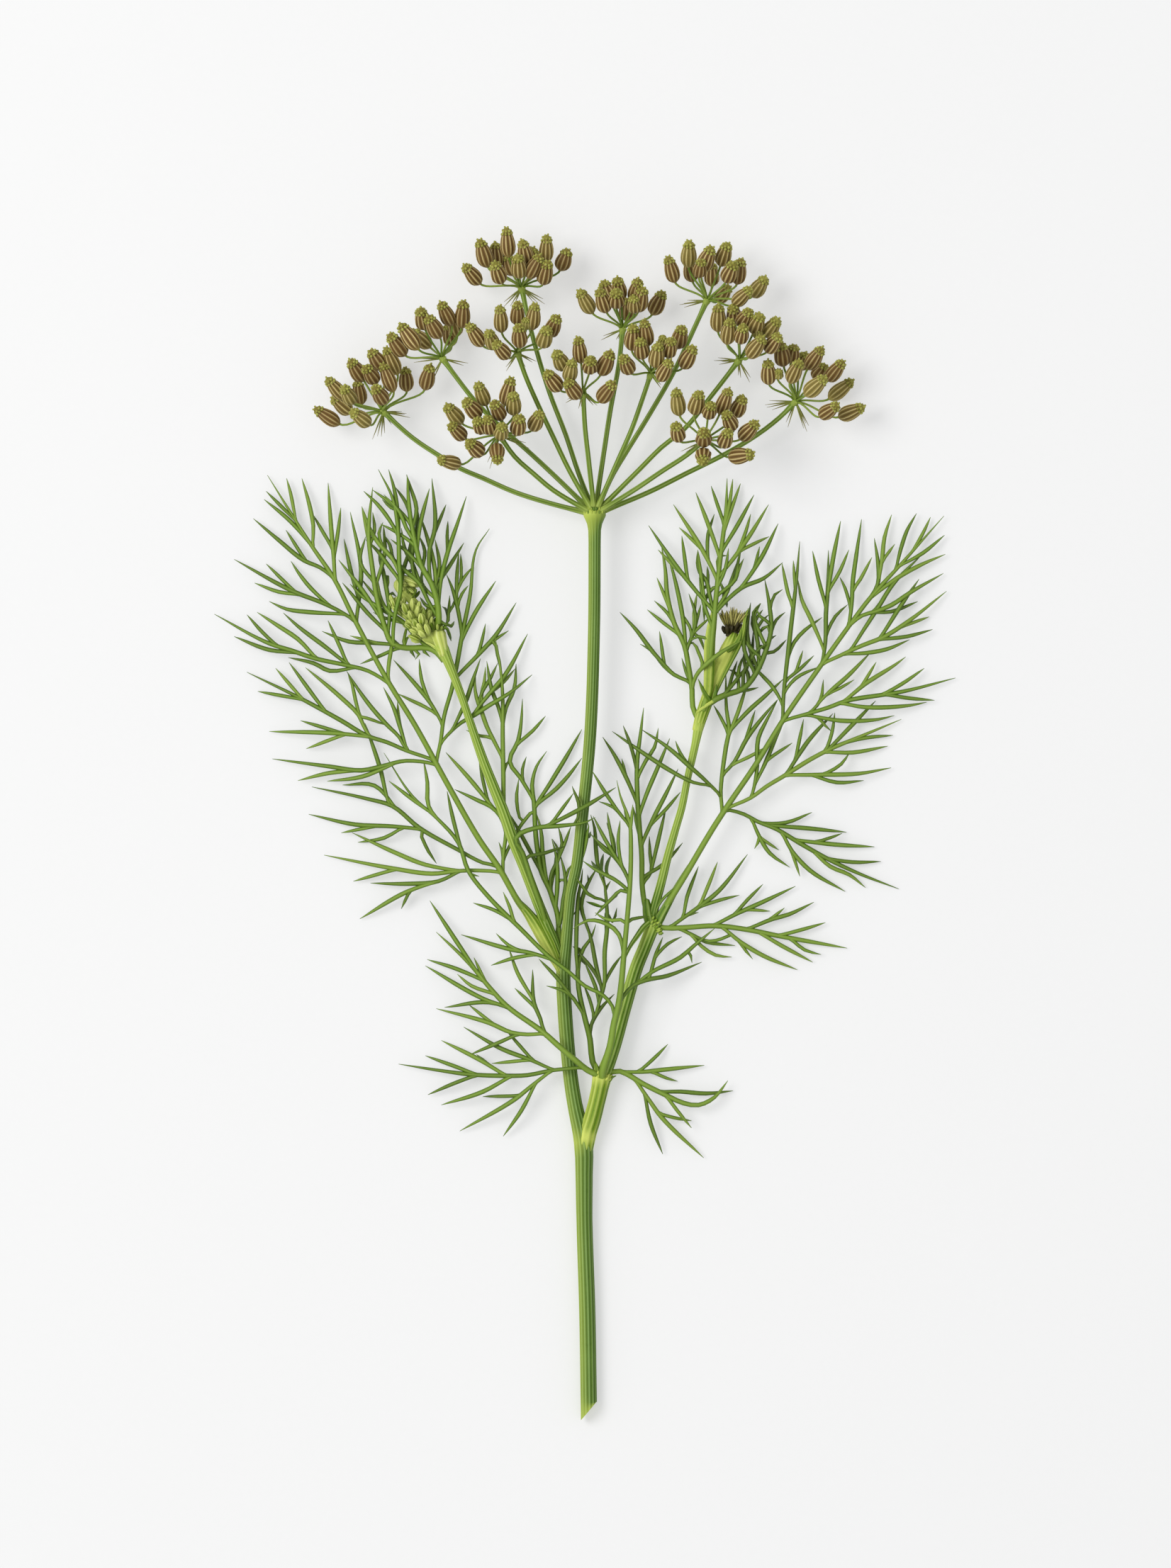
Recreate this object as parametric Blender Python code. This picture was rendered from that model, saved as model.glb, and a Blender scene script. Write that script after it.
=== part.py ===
"""Dill sprig: one cut stem with two side branches, thread-like leaves and an open seed umbel,
lying on a surface. Metres, +Z up, the stem along Y, the origin under the middle of its box."""
import math

import bmesh
import bpy
from mathutils import Vector, geometry

MM = 0.001

# Driving dimensions, in millimetres.
RAY_RADIUS = 0.42
THREAD_RADIUS = 0.42          # widest part of a leaf thread
PETIOLE_RADIUS = 0.63         # a leaf's own stalk, where it starts
TIP_RADIUS = 0.28             # of a thread's tip, as a share of its widest radius
TAPER_FROM = 0.55             # how far along a thread its tip begins to narrow
SWELL_BY = 0.4                # how far along a thread it has its full width
TIP_HEIGHT = 0.55             # height of a leaf tip's middle above the surface
FLOOR_GAP = 0.05              # under a thread that lies on the surface
SEED_LENGTH = 4.7
SEED_RADIUS = 1.12
SEED_WIDEST = 0.42            # how far along a seed its widest place is
CROWN_RADIUS = 0.35
SEED_SPREAD = 0.75            # share of an umbellet's hidden depth that goes into height
DOWNWARD_TILT = 0.3           # of a low seed, as a share of the tilt of the others
STALK_LENGTH = 6.0            # from an umbellet's knob to the foot of a seed
STALK_RADIUS = 0.22
KNOB_RADIUS = 0.8             # where the seeds' stalks meet
HUB = (1.5, 48.6, 5.0)        # where the umbel's rays meet
HUB_RADIUS = 2.6              # how far from there a ray starts
RAY_BOW = 0.07                # sag of a ray that leans right over, as a share of its length
OUTLINE_TOLERANCE = 0.7       # a bend smaller than this is drawn straight
LONG_THREAD = 8.0             # a straight thread longer than this swells in the middle
GAP = 0.3                     # between neighbouring pieces

rayTiers = {"low": -0.85, "mid": 0.2, "high": 1.25}    # how high a ray leaves the hub

# Stems, sheaths and buds: points x, y, z and the radius at each one.
stemPlans = {
    "main_stem": ("stem_green", [
        (0.6, -93.2, 1.35, 1.35), (0.3, -76.5, 1.4, 1.3), (-0.2, -61, 1.4, 1.28), (-0.4, -51, 1.4, 1.3),
        (-1.1, -46, 1.45, 1.2), (-2.3, -39.4, 1.6, 1.16), (-3.2, -26, 2.2, 1.15), (-2.9, -16.5, 2.8, 0.9),
        (-1.2, -6.5, 3.6, 0.9), (-0.3, 1.4, 4.2, 0.94), (0.8, 13.8, 4.6, 0.96), (1.4, 30, 4.8, 0.96),
        (1.5, 45, 5.0, 1.0), (1.5, 47.4, 5.0, 1.3), (1.5, 49.0, 5.0, 1.6), (1.5, 50.4, 5.0, 1.1)]),
    "lower_sheath": ("sheath_green", [
        (0.7, -48.6, 3.7, 0.6), (1.2, -46.6, 3.5, 1.2), (2.0, -43.6, 2.9, 1.6), (2.7, -40.2, 2.4, 1.7)]),
    "right_branch": ("stem_green", [
        (2.9, -39.4, 2.3, 1.4), (4.1, -36, 2.1, 1.15), (6.3, -28.6, 1.9, 1.1), (8.2, -22.2, 1.9, 1.1),
        (10.0, -17.4, 2.2, 1.15), (10.6, -15.4, 2.3, 1.4)]),
    "upper_branch": ("stem_green", [
        (11.0, -13.4, 2.4, 0.9), (12.0, -9.7, 2.6, 0.75), (14.0, -0.6, 3.2, 0.65), (15.2, 4, 3.4, 0.6),
        (17.6, 14.6, 3.4, 0.75)]),
    "upper_sheath": ("sheath_green", [
        (18.0, 15.5, 3.4, 0.7), (18.6, 17.6, 3.2, 1.0), (20.2, 22.6, 2.7, 1.4), (21.8, 26.4, 2.6, 1.2),
        (22.6, 28.2, 2.8, 0.8)]),
    "right_bud": ("bud_brown", [
        (22.8, 29.0, 2.9, 0.5), (23.1, 30.4, 3.0, 1.2), (23.3, 32.4, 3.0, 1.4), (23.2, 34.2, 3.0, 0.6)]),
    "left_sheath": ("sheath_green", [
        (-5.4, -19.6, 2.6, 0.6), (-6.4, -17.8, 2.4, 1.05), (-7.6, -15.7, 2.2, 1.1),
        (-8.7, -14.1, 2.2, 0.9)]),
    "left_branch": ("stem_green", [
        (-7.6, -12.2, 2.7, 0.85), (-8.4, -9.9, 2.9, 0.85), (-9.6, -6.6, 3.1, 0.86), (-11.2, -2.6, 3.4, 0.9),
        (-12.8, 2, 3.4, 0.9), (-18.6, 17.5, 3.2, 0.88), (-21.6, 25.2, 3.2, 0.9)]),
    "left_bud": ("bud_green", [
        (-22.5, 27.6, 3.2, 0.6), (-23.6, 29.6, 3.4, 1.6), (-25.4, 32, 3.4, 2.3), (-27.4, 35, 3.2, 2.2),
        (-29.6, 38, 3.0, 0.8)]),
}

# Leaves as indented outlines in millimetres: each line is a branch, x,y or x,y,z, starting on the
# branch above it and ending at its tip. A line that starts with + goes on from the one before it.
leafOutlines = {
    "left_leaf": """
-10.6,-12.5,2.2 -11.4,-10.8,2.1 -13.3,-7.2,2 -16.6,-2.4,1.6 -21.3,5.8,1.4 -26.7,15.6,1.2 -31,22.6,1.2
+-36.2,32.2 -39.3,38.4 -42.9,43.7 -49.8,54.7
  -13.1,-7.6 -12.8,-5,1.9 -12.4,-1.5,1.7 -12.7,2,1.6 -12.8,8,1.6 -12.9,14,1.6 -12.9,20,2 -13.2,24,2.6
+-14.1,29.4,2.8
    -12.8,-5.4 -13,-4.2 -13.5,-2.9,1.4
    -12.3,-5.4 -11.8,-3.4,1.4 -10.9,-1.7,1.2
    -12.4,-1 -13.3,1.2 -14.7,2.7 -16.6,3.6 -20.4,5.4,2.4
      -14.5,2.5 -15.8,4.3 -18.2,7.2 -21.8,11.2,1.6
        -15.4,3.9 -15.9,6.4 -16.6,9.8,1
    -12.8,8.4 -12.3,9.4 -11.6,10.2,1.2
    -12.8,10.6 -14,12.5 -15.4,15.3 -16.2,17.6 -17,19.8 -17.3,22 -17.1,24.2
      -14.8,14 -16.4,13.8,1.3 -18.6,14.7,0.8
      -16.4,18 -16.2,20.4 -15.8,22.2 -15.6,24.6
      -16.9,19.4 -16,20.9 -14.8,22.9 -13.7,25.2
    -12.9,15.6 -12.4,18.2 -11.1,21.2 -10.8,25.1
    -12.9,16.2 -13.6,18.4 -14.6,21 -15.4,25.5
  -13.3,-7.2 -17,-7.3 -20,-7.4 -24,-7.8 -30,-7 -40.9,-4.9
    -20,-7.3 -25,-6.4 -30,-4.4 -36.5,-1.4
    -30,-7 -36.3,-9
    -20,-7.5 -23,-9 -28,-9.4 -33.6,-9.3
      -24,-9.3 -27.8,-10.6 -35.3,-14.9
        -27.8,-10.7 -28.8,-13.3
  -14,-6.2 -16,-6.1 -20,-4 -26,-0.6 -30.2,2.8 -34,3.9 -42.8,5.8
    -26,-0.6 -30,-0.4 -36,-0.1 -43.3,1.5
      -29,-0.8 -31.5,-2.2 -35.6,-2.9
      -33,-0.3 -38.2,-1.4
    -30.2,2.8 -33,6 -38,6.1
    -31,4 -32.2,9 -34.5,15.8
    -26.3,-0.9 -25,-3.4 -23.3,-6.2
  -23.3,9.8 -28,9.9 -32,9 -35,8.4 -40,9 -49,10.2
    -35,8.4 -40,8 -45,6.8
    -30,9.6 -35,7.4 -40.4,6.7
  -23.8,10.4 -28,11.5 -31,12.8 -34.1,13.8 -38.2,16.2 -44.6,19.7 -53,23.8
    -44.6,19.7 -51.3,20.8
    -44.6,19.7 -48.5,24.4
    -41,18 -46.4,25.3
    -34.1,13.9 -34.7,15.4 -35.5,17.1 -38,19.6 -43.8,24.5
      -35.5,17.2 -36,19.5 -36.5,21.8 -37.2,23.6
      -35.4,17.6 -34.2,16.6 -31.2,15.5,1.8
    -34.1,13.8 -39,14.2 -49.5,14.5
      -38,14.1 -44.6,16.2
      -38,14 -43.7,11.8
    -28.2,11.7 -28.8,14.6 -29.9,18 -31.6,21.4
      -28.8,14.4 -29.2,16.6 -29.4,19.2
    -28.3,11.9 -29.1,13.6 -31.1,15.6 -33.5,18.3 -35.5,21 -37.4,24
  -23.4,10 -22.6,13 -22.1,16.8 -20.8,21.5,0.7 -20,25.5,0.7 -19.2,30 -18,36 -17.1,43 -15,46.3
    -22.2,16 -24.2,18.9 -26.5,21.8 -30,25.7
      -23.4,17.5 -25,18.3 -27.5,19.5 -29.3,20.4
      -24.6,19.4 -25.6,22.5 -26,25.8
    -22.5,13 -21,14.5 -19.4,15.9,0.9 -17.6,16.9,1 -15,18.6,2.6 -12,20.4,2.8 -8.3,23.4
      -17.4,17 -16,19.2,2.6 -14.3,21.2,2.8 -12.5,23.4 -9,29.8
        -14.6,20.8 -12.7,22.3 -11,24.3
      -20.6,14.9 -19.6,17.2 -18.5,19.7,1.4 -17.5,22.8 -16.4,25.9
    -19.6,29 -17.3,33 -14,38.1
    -19.2,30 -20,35 -19.9,38.8 -19.5,42.4
      -20,35 -19.5,37.2 -18.4,38.8
    -19.9,23 -16.5,26.8 -14,29.6 -10.8,34.7
      -16.5,26.8 -16.1,29 -15.6,31.4
      -15.4,28 -14,29 -12,30.3
      -14.2,29.4 -13.7,26.5 -13,23.3
  -30.8,22.4 -34,24 -37.5,24.9 -42.5,26 -46,27.2 -49.5,28.3 -58.1,32.9
    -48.5,28 -50.5,30 -53,32.8
    -45.5,27 -49.5,27.3 -55,29.4
    -36.5,24.4 -40,24 -42.5,25.2 -46.5,26.1
    -37.3,25 -41,28 -45,31 -47.3,33.1
    -42.5,26 -45,29 -48,31 -51.4,33.2
    -37.5,24.9 -38.5,28 -40.3,31.9
  -36.2,32.2 -38,33.1 -41,34.6 -45.8,36.5 -55,41.5
    -38,33.1 -43,33.2 -46.8,33.7 -49.5,34.9
    -45.8,36.5 -50,40.8
    -45,36.2 -48,36.4 -51.8,37.8
    -40.3,34.2 -43,37 -45,39.5 -46.1,41.2
  -39.6,39 -41.5,40.2 -44,41.3 -48,44.5 -52,47.9
    -44,41.4 -46.9,46.1
  -39.3,38.6 -39.4,42 -39.8,46.5 -40.3,53.5
    -39.4,42 -38.7,46 -38.3,49.6
    -39.6,43.5 -41.5,46.5 -42.7,48.6
  -42.9,43.8 -42.6,46.8 -43.2,50 -44.4,54.2
  -42.9,44 -46,47.3 -50.3,50.9
  -45.4,48 -50,52.2
  -45.3,48 -46.2,52 -46.8,54.2
  -36,32 -35.4,35.5,1.6 -35.1,40,2 -36.8,48.9,1.4
    -35.4,35.5 -36.8,40 -37.8,44.7
""",
    "center_leaf": """
2.6,-38.9,4.8 3.9,-35,4.7 4.6,-31,4.7 5.2,-28.6,5 5.7,-25,5.2 6.1,-20.4,5.2 6.6,-15,5.2 7.1,-8.5,5.2
+7.2,-3.5,5 7,0.2,5 5.5,4.5,4.8 5,6.8,4.8
  4.7,-30.4 4.3,-28.6,5 2.8,-26.8,5.2 0,-25.4,5.4 -2.5,-23.2,5.4 -5.5,-20.9,5.4 -10,-16.5,5
+-15.3,-11.2,4.4 -18.3,-7.3,3.8 -19.8,-3,3.4 -23,0.7,3.4 -27,4.3,3 -31.5,11.1,2.2
    -19.6,-3.5 -20.6,0.5 -21.6,5.1,3
    -18.3,-7.3 -16.6,-8.2,3.8
    -22.5,0.3 -24.5,2.8 -24.7,6.5 -25.3,10,3.2
    -24.5,1.6 -27.5,4.2 -30.7,6.7,2.6
    -11.3,-15 -11.8,-13 -12.8,-10.7,4.4
    -11.8,-14.8 -14,-13.6 -17.5,-12.4,3
    -5.2,-21 -8.5,-20.2 -11.5,-19.7 -19.4,-17.4,1
      -10.5,-19.9 -12,-19 -13.9,-17.2,3
      -8,-20.4 -11,-21 -14.7,-22.2,1
  5.3,-28 6,-27 7.6,-25.3,4.8 9.5,-24.5,4.2 13,-23.8,2.4 18.3,-21.7,1
    8.4,-24.9 10.5,-23.2,4 15,-20.9,2.4 17,-19.2,1.6 20.3,-16.4,3.2
      16.6,-19.5 16.8,-21.8
    10.2,-23.4 11.2,-20.2 12.2,-17.8,1.4
      11.1,-20.6 13,-18.8 15.2,-17.7,1.2
  6.1,-20.3 5.3,-17.3 3.5,-15.7,5 0.5,-15.1,5 -1.8,-16.4,4.8
  6.2,-19.8 7.6,-17.4 9.2,-14.9,4.6
  7,-14.8 8.4,-14.7 10,-14.5,4.2
  6.8,-14.9 5.6,-15 4.2,-15.1 3,-14.8,5.4 1.6,-13.9,5.6
  6.9,-9 6.2,-7.4 4.5,-5,5.4 2.3,-3 0.8,-1.5,5.6
    5.5,-6.2 3.2,-2.5 1.3,1.2,5.6
    5.6,-6.2 5.2,-3 5.5,0.5,5.4
    4.7,-5 4,-1.3 3.5,1.8,5.6
  6.8,-9.6 3.5,-8 1,-6,5.6
      4.9,-4.6 4.4,-2.4 3.4,0.2
  6.8,-9.9 6,-9.7 4.5,-8.6 2.9,-7.8 1.4,-7 -0.3,-5.8,5.8
    3.1,-7.9 3.4,-6.6 4.1,-4.9
    2.3,-7.4 2.6,-6.2 2.9,-4.7
    1.9,-7.2 1.5,-6.6 1,-5.8
  6.7,-10 5.6,-10.4 4.4,-11.5 3,-12.9 1.6,-14.4,5
    4.1,-11.7 4.6,-11.4 5.2,-10.8
    2.6,-13.3 1.4,-12.6 0.2,-12.2
  7,0 5.8,1.2 4.5,2.6 2.2,3.5,5.4
    5.6,1.4 3.3,4.7 1.2,8.2,5.6
  7.1,-0.5 7.5,3,5.2
  7,-0.3 6.6,0.8 6.1,2.5,5.2
""",
    "lower_left_leaf": """
0.4,-38.6,3.2 -1.3,-37.2,4.4 -4,-34.9,4.4 -6.6,-32.6,3.4 -12.3,-28.5,1.8 -15,-25.6 -18,-22 -23.3,-17
  -17.2,-23.3 -19.5,-19.4 -22,-15.6 -24.3,-12.1
  -16,-24.2 -20,-22.8 -24.7,-21.3
  -15.8,-24.6 -17.4,-21,1.2
  -14.2,-26.2 -17.8,-25.4 -20,-23.6,1.4
  -12.3,-28.4 -16,-27.4 -25,-22.3
  -12.1,-28.6 -15,-28 -22,-28.8
  -6.7,-32.7 -9,-33 -11.5,-32.7 -15,-31.2 -23.3,-29
    -14.6,-31.3 -18.2,-28.4
    -10.8,-33 -14,-34.5 -18,-36.2,1.8
  -6.7,-32.5 -7,-30.5 -8,-28 -8.2,-22.9,1.6
    -7.9,-28.4 -11,-25.8
    -8.1,-27.2 -10.6,-23.3 -11.9,-19.6,1.4
  -0.6,-38 -3,-38.4,4.4 -5.5,-38.7,3 -9,-39.4 -13,-39.5 -18,-39.3 -22,-38.8 -29.2,-37.7
    -17.3,-39.2 -20.5,-38 -25,-36.4
    -17.3,-39.4 -20,-40.5 -24.6,-42.5
    -12.8,-39.3 -16.5,-37 -22.5,-34
      -15.2,-38 -17,-36.2
    -12,-39.7 -16,-42 -22.5,-44.1
    -5.3,-38.7 -8.5,-37 -13,-35.3 -19,-31.9,1
      -9,-37 -14.6,-37.6
      -8.5,-37 -10.2,-34.8 -12.3,-32.4,2.2
    -5.6,-38.8 -8,-40.8 -11,-43.2 -19.6,-48.2
      -10.6,-42.9 -16,-42.8
      -7.9,-41 -10,-45 -12.8,-49
""",
    "lower_right_leaf": """
5.5,-38.8,2 6.5,-39.2,1.8 9,-40.7 12.4,-42.4 15.5,-43.8 17.8,-44.1 20.3,-42.9 22.4,-40.3,1.6
  6.1,-39.1 9,-38.9 12,-38.6 18.7,-37.9
    8.8,-38.8 10.6,-37 13,-34.6
    10.8,-38.8 12.8,-39.9 14.5,-40.4
  12,-42.3 15,-42 19,-42.3 23.2,-41.9
  13,-42.8 14.5,-45 16.7,-47.7,1.6
  8.1,-40.2 9.7,-42.8 12,-46 18.6,-52.4
    9.6,-42.7 10.3,-47 12.2,-51.8
    11.8,-45.7 14,-46.1 16.7,-46.6
""",
    "middle_leaf": """
1.1,-37.3,1.6 1,-36,1.6 0.8,-33.8,1.8 0,-30.5,2 -0.8,-27,2 -1.1,-24.5 -1,-21.8 -0.2,-19.5 0.9,-18
+1.7,-15.8
  -1,-22.6 -1.35,-20.6 -1.3,-18 -1.2,-15.7
    -1.3,-20.8 -0.7,-21.2 0,-22.1
  -0.3,-19.8 -0.9,-19.6 -1.7,-19.2
  1,-17.6 0,-15.2 -0.6,-12.9 0.3,-9.7 1.6,-7.4 2,-6.7
    -0.3,-12.2 -1.1,-13.4 -1.9,-14.4
    0.2,-10.2 0.6,-9 0.4,-8
  -0.4,-29.6 -1.1,-28.4 -2.4,-26.7 -4,-25.9,4.6 -6,-25.4,4.4
    -2,-27 -4.5,-24,4.8 -7.2,-21.2,3
  0.8,-33.2 1,-31.5 1.8,-29.9 3,-28.3 4.6,-26.7,2.6
    1.8,-29.9 2.3,-27.8 3,-25.4 3.1,-20 3.5,-15.8 3.1,-9.5 2.6,-6.5
      2.8,-25.8 1.7,-22 1,-18.2 0.3,-15.4
      3,-24.5 4.6,-22.2 5.8,-20.6
      3.2,-13 4.2,-9.4 5.2,-7.6
      3.2,-9.5 2.8,-4.6 1.9,-1.2
      3.3,-13.4 3.7,-14.4 4.3,-15.3 5,-13.2
      2.9,-11.3 3.2,-10.4 4,-9
      3.1,-11.6 1.6,-11.6 0.4,-10.9 -0.4,-9.8 -1.5,-8.3,5.2
      3.4,-17 3.3,-15.6 3.1,-14
    1.7,-30.1 0.7,-27.4 -0.2,-25.3,1.2
""",
    "left_center_leaf": """
-5.1,-16.2,1.2 -5.9,-13.4,1 -6.9,-10.6,0.9 -7.1,-8,0.9 -7.7,-2,0.8 -8,3.4,0.8 -8.3,6 -7.6,9 -6,11.4
  -7.9,3 -5.5,6.3 -3,10.4 -0.5,14.8
  -7.8,3.2 -4.5,5.5 -2.5,7.7 -0.5,10.3
  -8.1,4.2 -10.1,7.2 -11.8,9.8 -10.5,13 -10,16 -9.8,19.6
    -10.5,12.8 -8.2,14.6 -6.2,16.9
    -10.1,7 -9.8,8.6 -9.2,10.5
  -7.9,2.6 -9.2,0.9 -10.3,-0.6 -12,-3,0.5
    -10,-0.2 -10.7,3.5 -10.4,7,1.4
  -7.1,-7.5 -9.3,-3 -11.9,1.7,0.5
  -6.9,-9.6 -6.6,-5 -6.9,-1 -7.6,1.6,1.2
  -5.3,-15.2 -4.6,-13.4 -4.4,-11 -4.3,-8 -4.5,-5 -5.2,-2.4
  -5.2,-16.6 -4.4,-17.2 -3.9,-15.6 -3.4,-12 -3,-9.6 -3.2,-7.6 -3.9,-4.8
    -3.3,-8.2 -3.8,-8.8 -4.6,-9.8
    -3.1,-8 -2.6,-7.2 -2.1,-6.4
  -6.6,-12.2 -5.6,-10.8 -5.5,-9.4 -6,-8.4 -6.9,-7.2
    -5.5,-9.6 -4.9,-8 -4.7,-5.8
  -5.4,-15.4 -6,-15 -6.3,-13.6
  -6.8,-11.4 -5.4,-8.5 -4.1,-4.5 -5.1,-2.4
    -4.2,-5 -3.6,-3 -4.2,-0.4
    -4.3,-5.4 -3.3,-3.4 -2.2,-0.4
  -6.9,-10.4 -5.6,-9.8 -4.4,-6.6 -4.8,-5.2
""",
    "cross_leaf": """
-7,-13.6,4 -8.3,-9,4.2 -9.8,-4.5,4.4 -10.8,-2.2,5.6 -8,-0.7,5.8 -4,-0.3,6.2 0.2,0.3,6.6 1.6,1,6.2
  -5.8,0,6 -2.5,1.4,6.6 0.8,3.2,6.6 4.8,5.7,5.8
    -5,0.4 -3.4,2.6 -1.8,4.8,5.8
  -1,-0.2 -0.9,2.4,6.6 -2,5.9,5
  1,0.6 0.4,-1.4,5.4 0.1,-3.4,4.6 -0.2,-5.2,4.4
    0.3,-2 0.6,-2 0.9,-1.2
  -9.6,-4.9 -6.4,-4.6,3.6 -3.1,-3.5,2
""",
    "right_center_leaf": """
9.6,-13.6,3 9,-10,2.6 8.9,-5,2.2 8.5,0,1.8 8.2,5,1.4 8.2,10 8.7,14,1.7 9.2,18.2,1.2
  8.3,3.4 6.6,7 4.5,11 2.8,13.6
    6.2,7.8 5.8,10.2
  8.2,9 7.2,12.2 6,15.4,1.7
  8.3,7.5 9.6,10 10.9,12 11.5,15,1.4
  8.4,1.5 9.6,4.5 11.4,8.8 13.3,13.4,1
  8.9,-3 10.6,0.6 12.6,4.5 14.6,8.6,1.9
    10.4,0.2 12.8,2.4 15,5
  8.8,-2 8,0.5 7.6,2.6
  9.1,-9 10.4,-7.4 10.2,-4.6 10.1,-2
    10.4,-7 11.4,-3 12.7,2.4
  10,-8 12.2,-6.4 13.6,-5 15.3,-3
""",
    "right_leaf": """
12.9,-13,2.6 15.5,-8.6,2.8 20,-0.8,2.4 22.2,2.6,2 26.5,8.9,1.6 31.2,16.5,1.4 36.8,24.6 41.8,31.6
+44.6,35.3 49.7,40.9 56.3,48.3
  21.8,2 21.3,5.2,1.8 22.1,12,1.6 22.6,14.8 22.2,18 22.1,23.8
    21.5,4.8 19.3,6.4,1 16.2,9.2,0.6 13,12,0.6 8.9,14.8
      19.4,6.3 17,6.5,0.6 14,8 10.5,10.2 4.3,14.5,0.5
    21.9,8 23.4,9.7 25.4,13.4 27.3,16 30.2,19.5,0.9
      23.3,9.6 25.5,10.4 29,12.3,2.8
      25.4,13.3 26.7,17.8
    22.6,14.6 21.3,16.7 20.2,18.6,0.5
    22.7,14.2 24,17.5 25,20.6 25.6,22.5
    23,14.8 25.5,17.6 28.4,20.2 31.2,22.8,0.5
  22.9,2.4 26,4.1 28.5,5.9 31,7.4 35.5,10.2 39,12 41.2,12.9 49.6,16.4
    31.8,7.9 36,7.7 43,7.9 48,8.8
      36,7.6 39.5,6.5 43.7,6.8
      37.8,7.9 40.2,9.4 41.5,11.2,1.4
    38,11.5 42,11.2 47.5,12.2
    41,12.8 44,13.5 48.3,13.9
    26.5,4.4 26.9,8 27.2,13.5 28.2,15.7 30.2,19.4
      26.9,6.4 28.2,9.4 30,13.6 31.2,16,0.6
        28.8,10.3 32.5,12.7
    31.9,8 33.3,10.5 35,13 38.9,17.3
      33.2,10.3 33.6,13 34.3,16.4
    38.1,11.6 38.7,14.2 39.2,17.4,1
    38.4,11.8 41.4,15 45.6,19.3,0.5
  31.4,16.4 35,17.3 38,18.2 41,19.3 47,20.3 50,20.8 58.1,22.9
    41,19.3 44,22 48.7,25 50.3,26.2
      43.6,21.8 45.7,25.4
    47,20.3 49.6,21.9 53.2,24.4
    47.5,20.4 51,19.7 54.8,19.4
    40.5,19 44,18.3 51,18.6 53.6,19.1
    35,17.2 40,16.2 46,16.4 48.5,17,0.5
    35.6,17.6 36.9,19.4 37.4,22.6
      36.8,19.2 38.3,20.7 41,23 44.8,26.9
        38.2,20.6 40,21.3 42.2,22.6
    34.5,17.2 36.5,16.7 37.7,15.4 38.7,14.5,0.8
  31.2,16.6 31.1,19.5,1.8 31.4,23,1.8 31.8,26.4 32.2,30 32.7,34.2 33.2,38.5 33.7,44.3
    32.7,34.4 31.9,36 30.9,40.9
    33,37 32.7,41.3
    31.9,26.2 32.8,28.5 34.5,30.4 37.2,32.4,0.6
    31.5,22.8 33.6,24.2 35.9,26.4,1.6
      33.4,24 34.2,27.2
    31.2,21 33,22.8 36.6,24.6,2.2
    31.1,19 29.6,21.3,1 27.5,23.6 25.8,25.4,0.8
  37.4,25.5 37.7,28.5,1.4 37.8,33,1.4 38.1,37 38.2,42.9
    38,36 38.9,41.5 40.1,47.5
    37.7,27.6 35.5,32 34,35.2 33.4,38.4,0.5
    37.8,34.4 36.6,38.4 35.7,42.8,1.6
    37.8,30 39.3,32.6 41.2,34.4
    38.1,36.8 40,39.7 41.4,43
  37.4,25.4 40,26.4 43.5,28 46.8,29.3 51,32 56.7,36.5
    46.6,29.3 49.5,34.2 52.4,38.4
    49.6,31.2 51.5,31.6 54,32.5
    46.4,29.1 50.5,29.4 54.5,30.5
    41,26.7 44,26.8 47.3,27.4 50.9,28.9
    42,27.4 43.8,30.6 46,34 48.3,37.6 52.8,42.2,1.2
  41.6,31.3 41.8,34.2 42,38 42.4,41 43.4,47.8
    41.8,34 40.8,37 40,38.7
    42.1,37 43.2,38.4 45,41.8
  41.6,31.5 43.5,32.7 45.5,33.3 48,34.3 51,36.3 56.2,39.3
    45.6,33.3 48,33.3 52.2,34.9
    45.6,33.3 46.8,35.4
  44.8,35.4 45.9,37.6 46,40.5 45.4,44.8
    46,38.6 46.6,41.5 47,45 48.1,48.5
      46.7,41.6 48.6,43.9
  45,35.7 49,38.6 53,40.8 56.5,42.3
  49,40.2 49.5,43 50.5,46 52,48.7
  49.6,40.8 53,42.5 56.4,45.3
  51.4,42.8 52.8,45.2 54.2,48.1
  22.8,2.2 25,1.5,1.4 27,0.4 30,-0.8 33.5,-2.9 38.3,-5.6 43,-7.8 49.2,-10.2
    28,-0.1 31.5,0.2 35.6,1.8
    29,-0.5 35,-0.7 41,-1.3
    33.2,-2.8 37,-3 40,-3.3 45.4,-3.6
      36.5,-2.9 38.4,-2.2 40.3,-1.5,1.4
    38.3,-5.7 42,-6 46.4,-5.9
    36,-4.6 38.5,-6.7 41.5,-8 44,-10
    31.2,-1.6 32.5,-4.3 35.3,-7.3 40.8,-10.6
      32.4,-4.2 33,-6 33.7,-8.2
    26.4,0.6 27.5,-2.3 29,-4.6 32.1,-6.8
      27.6,-2.5 30.4,-4.1
      27.6,-2.7 26.6,-3.9
""",
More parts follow.
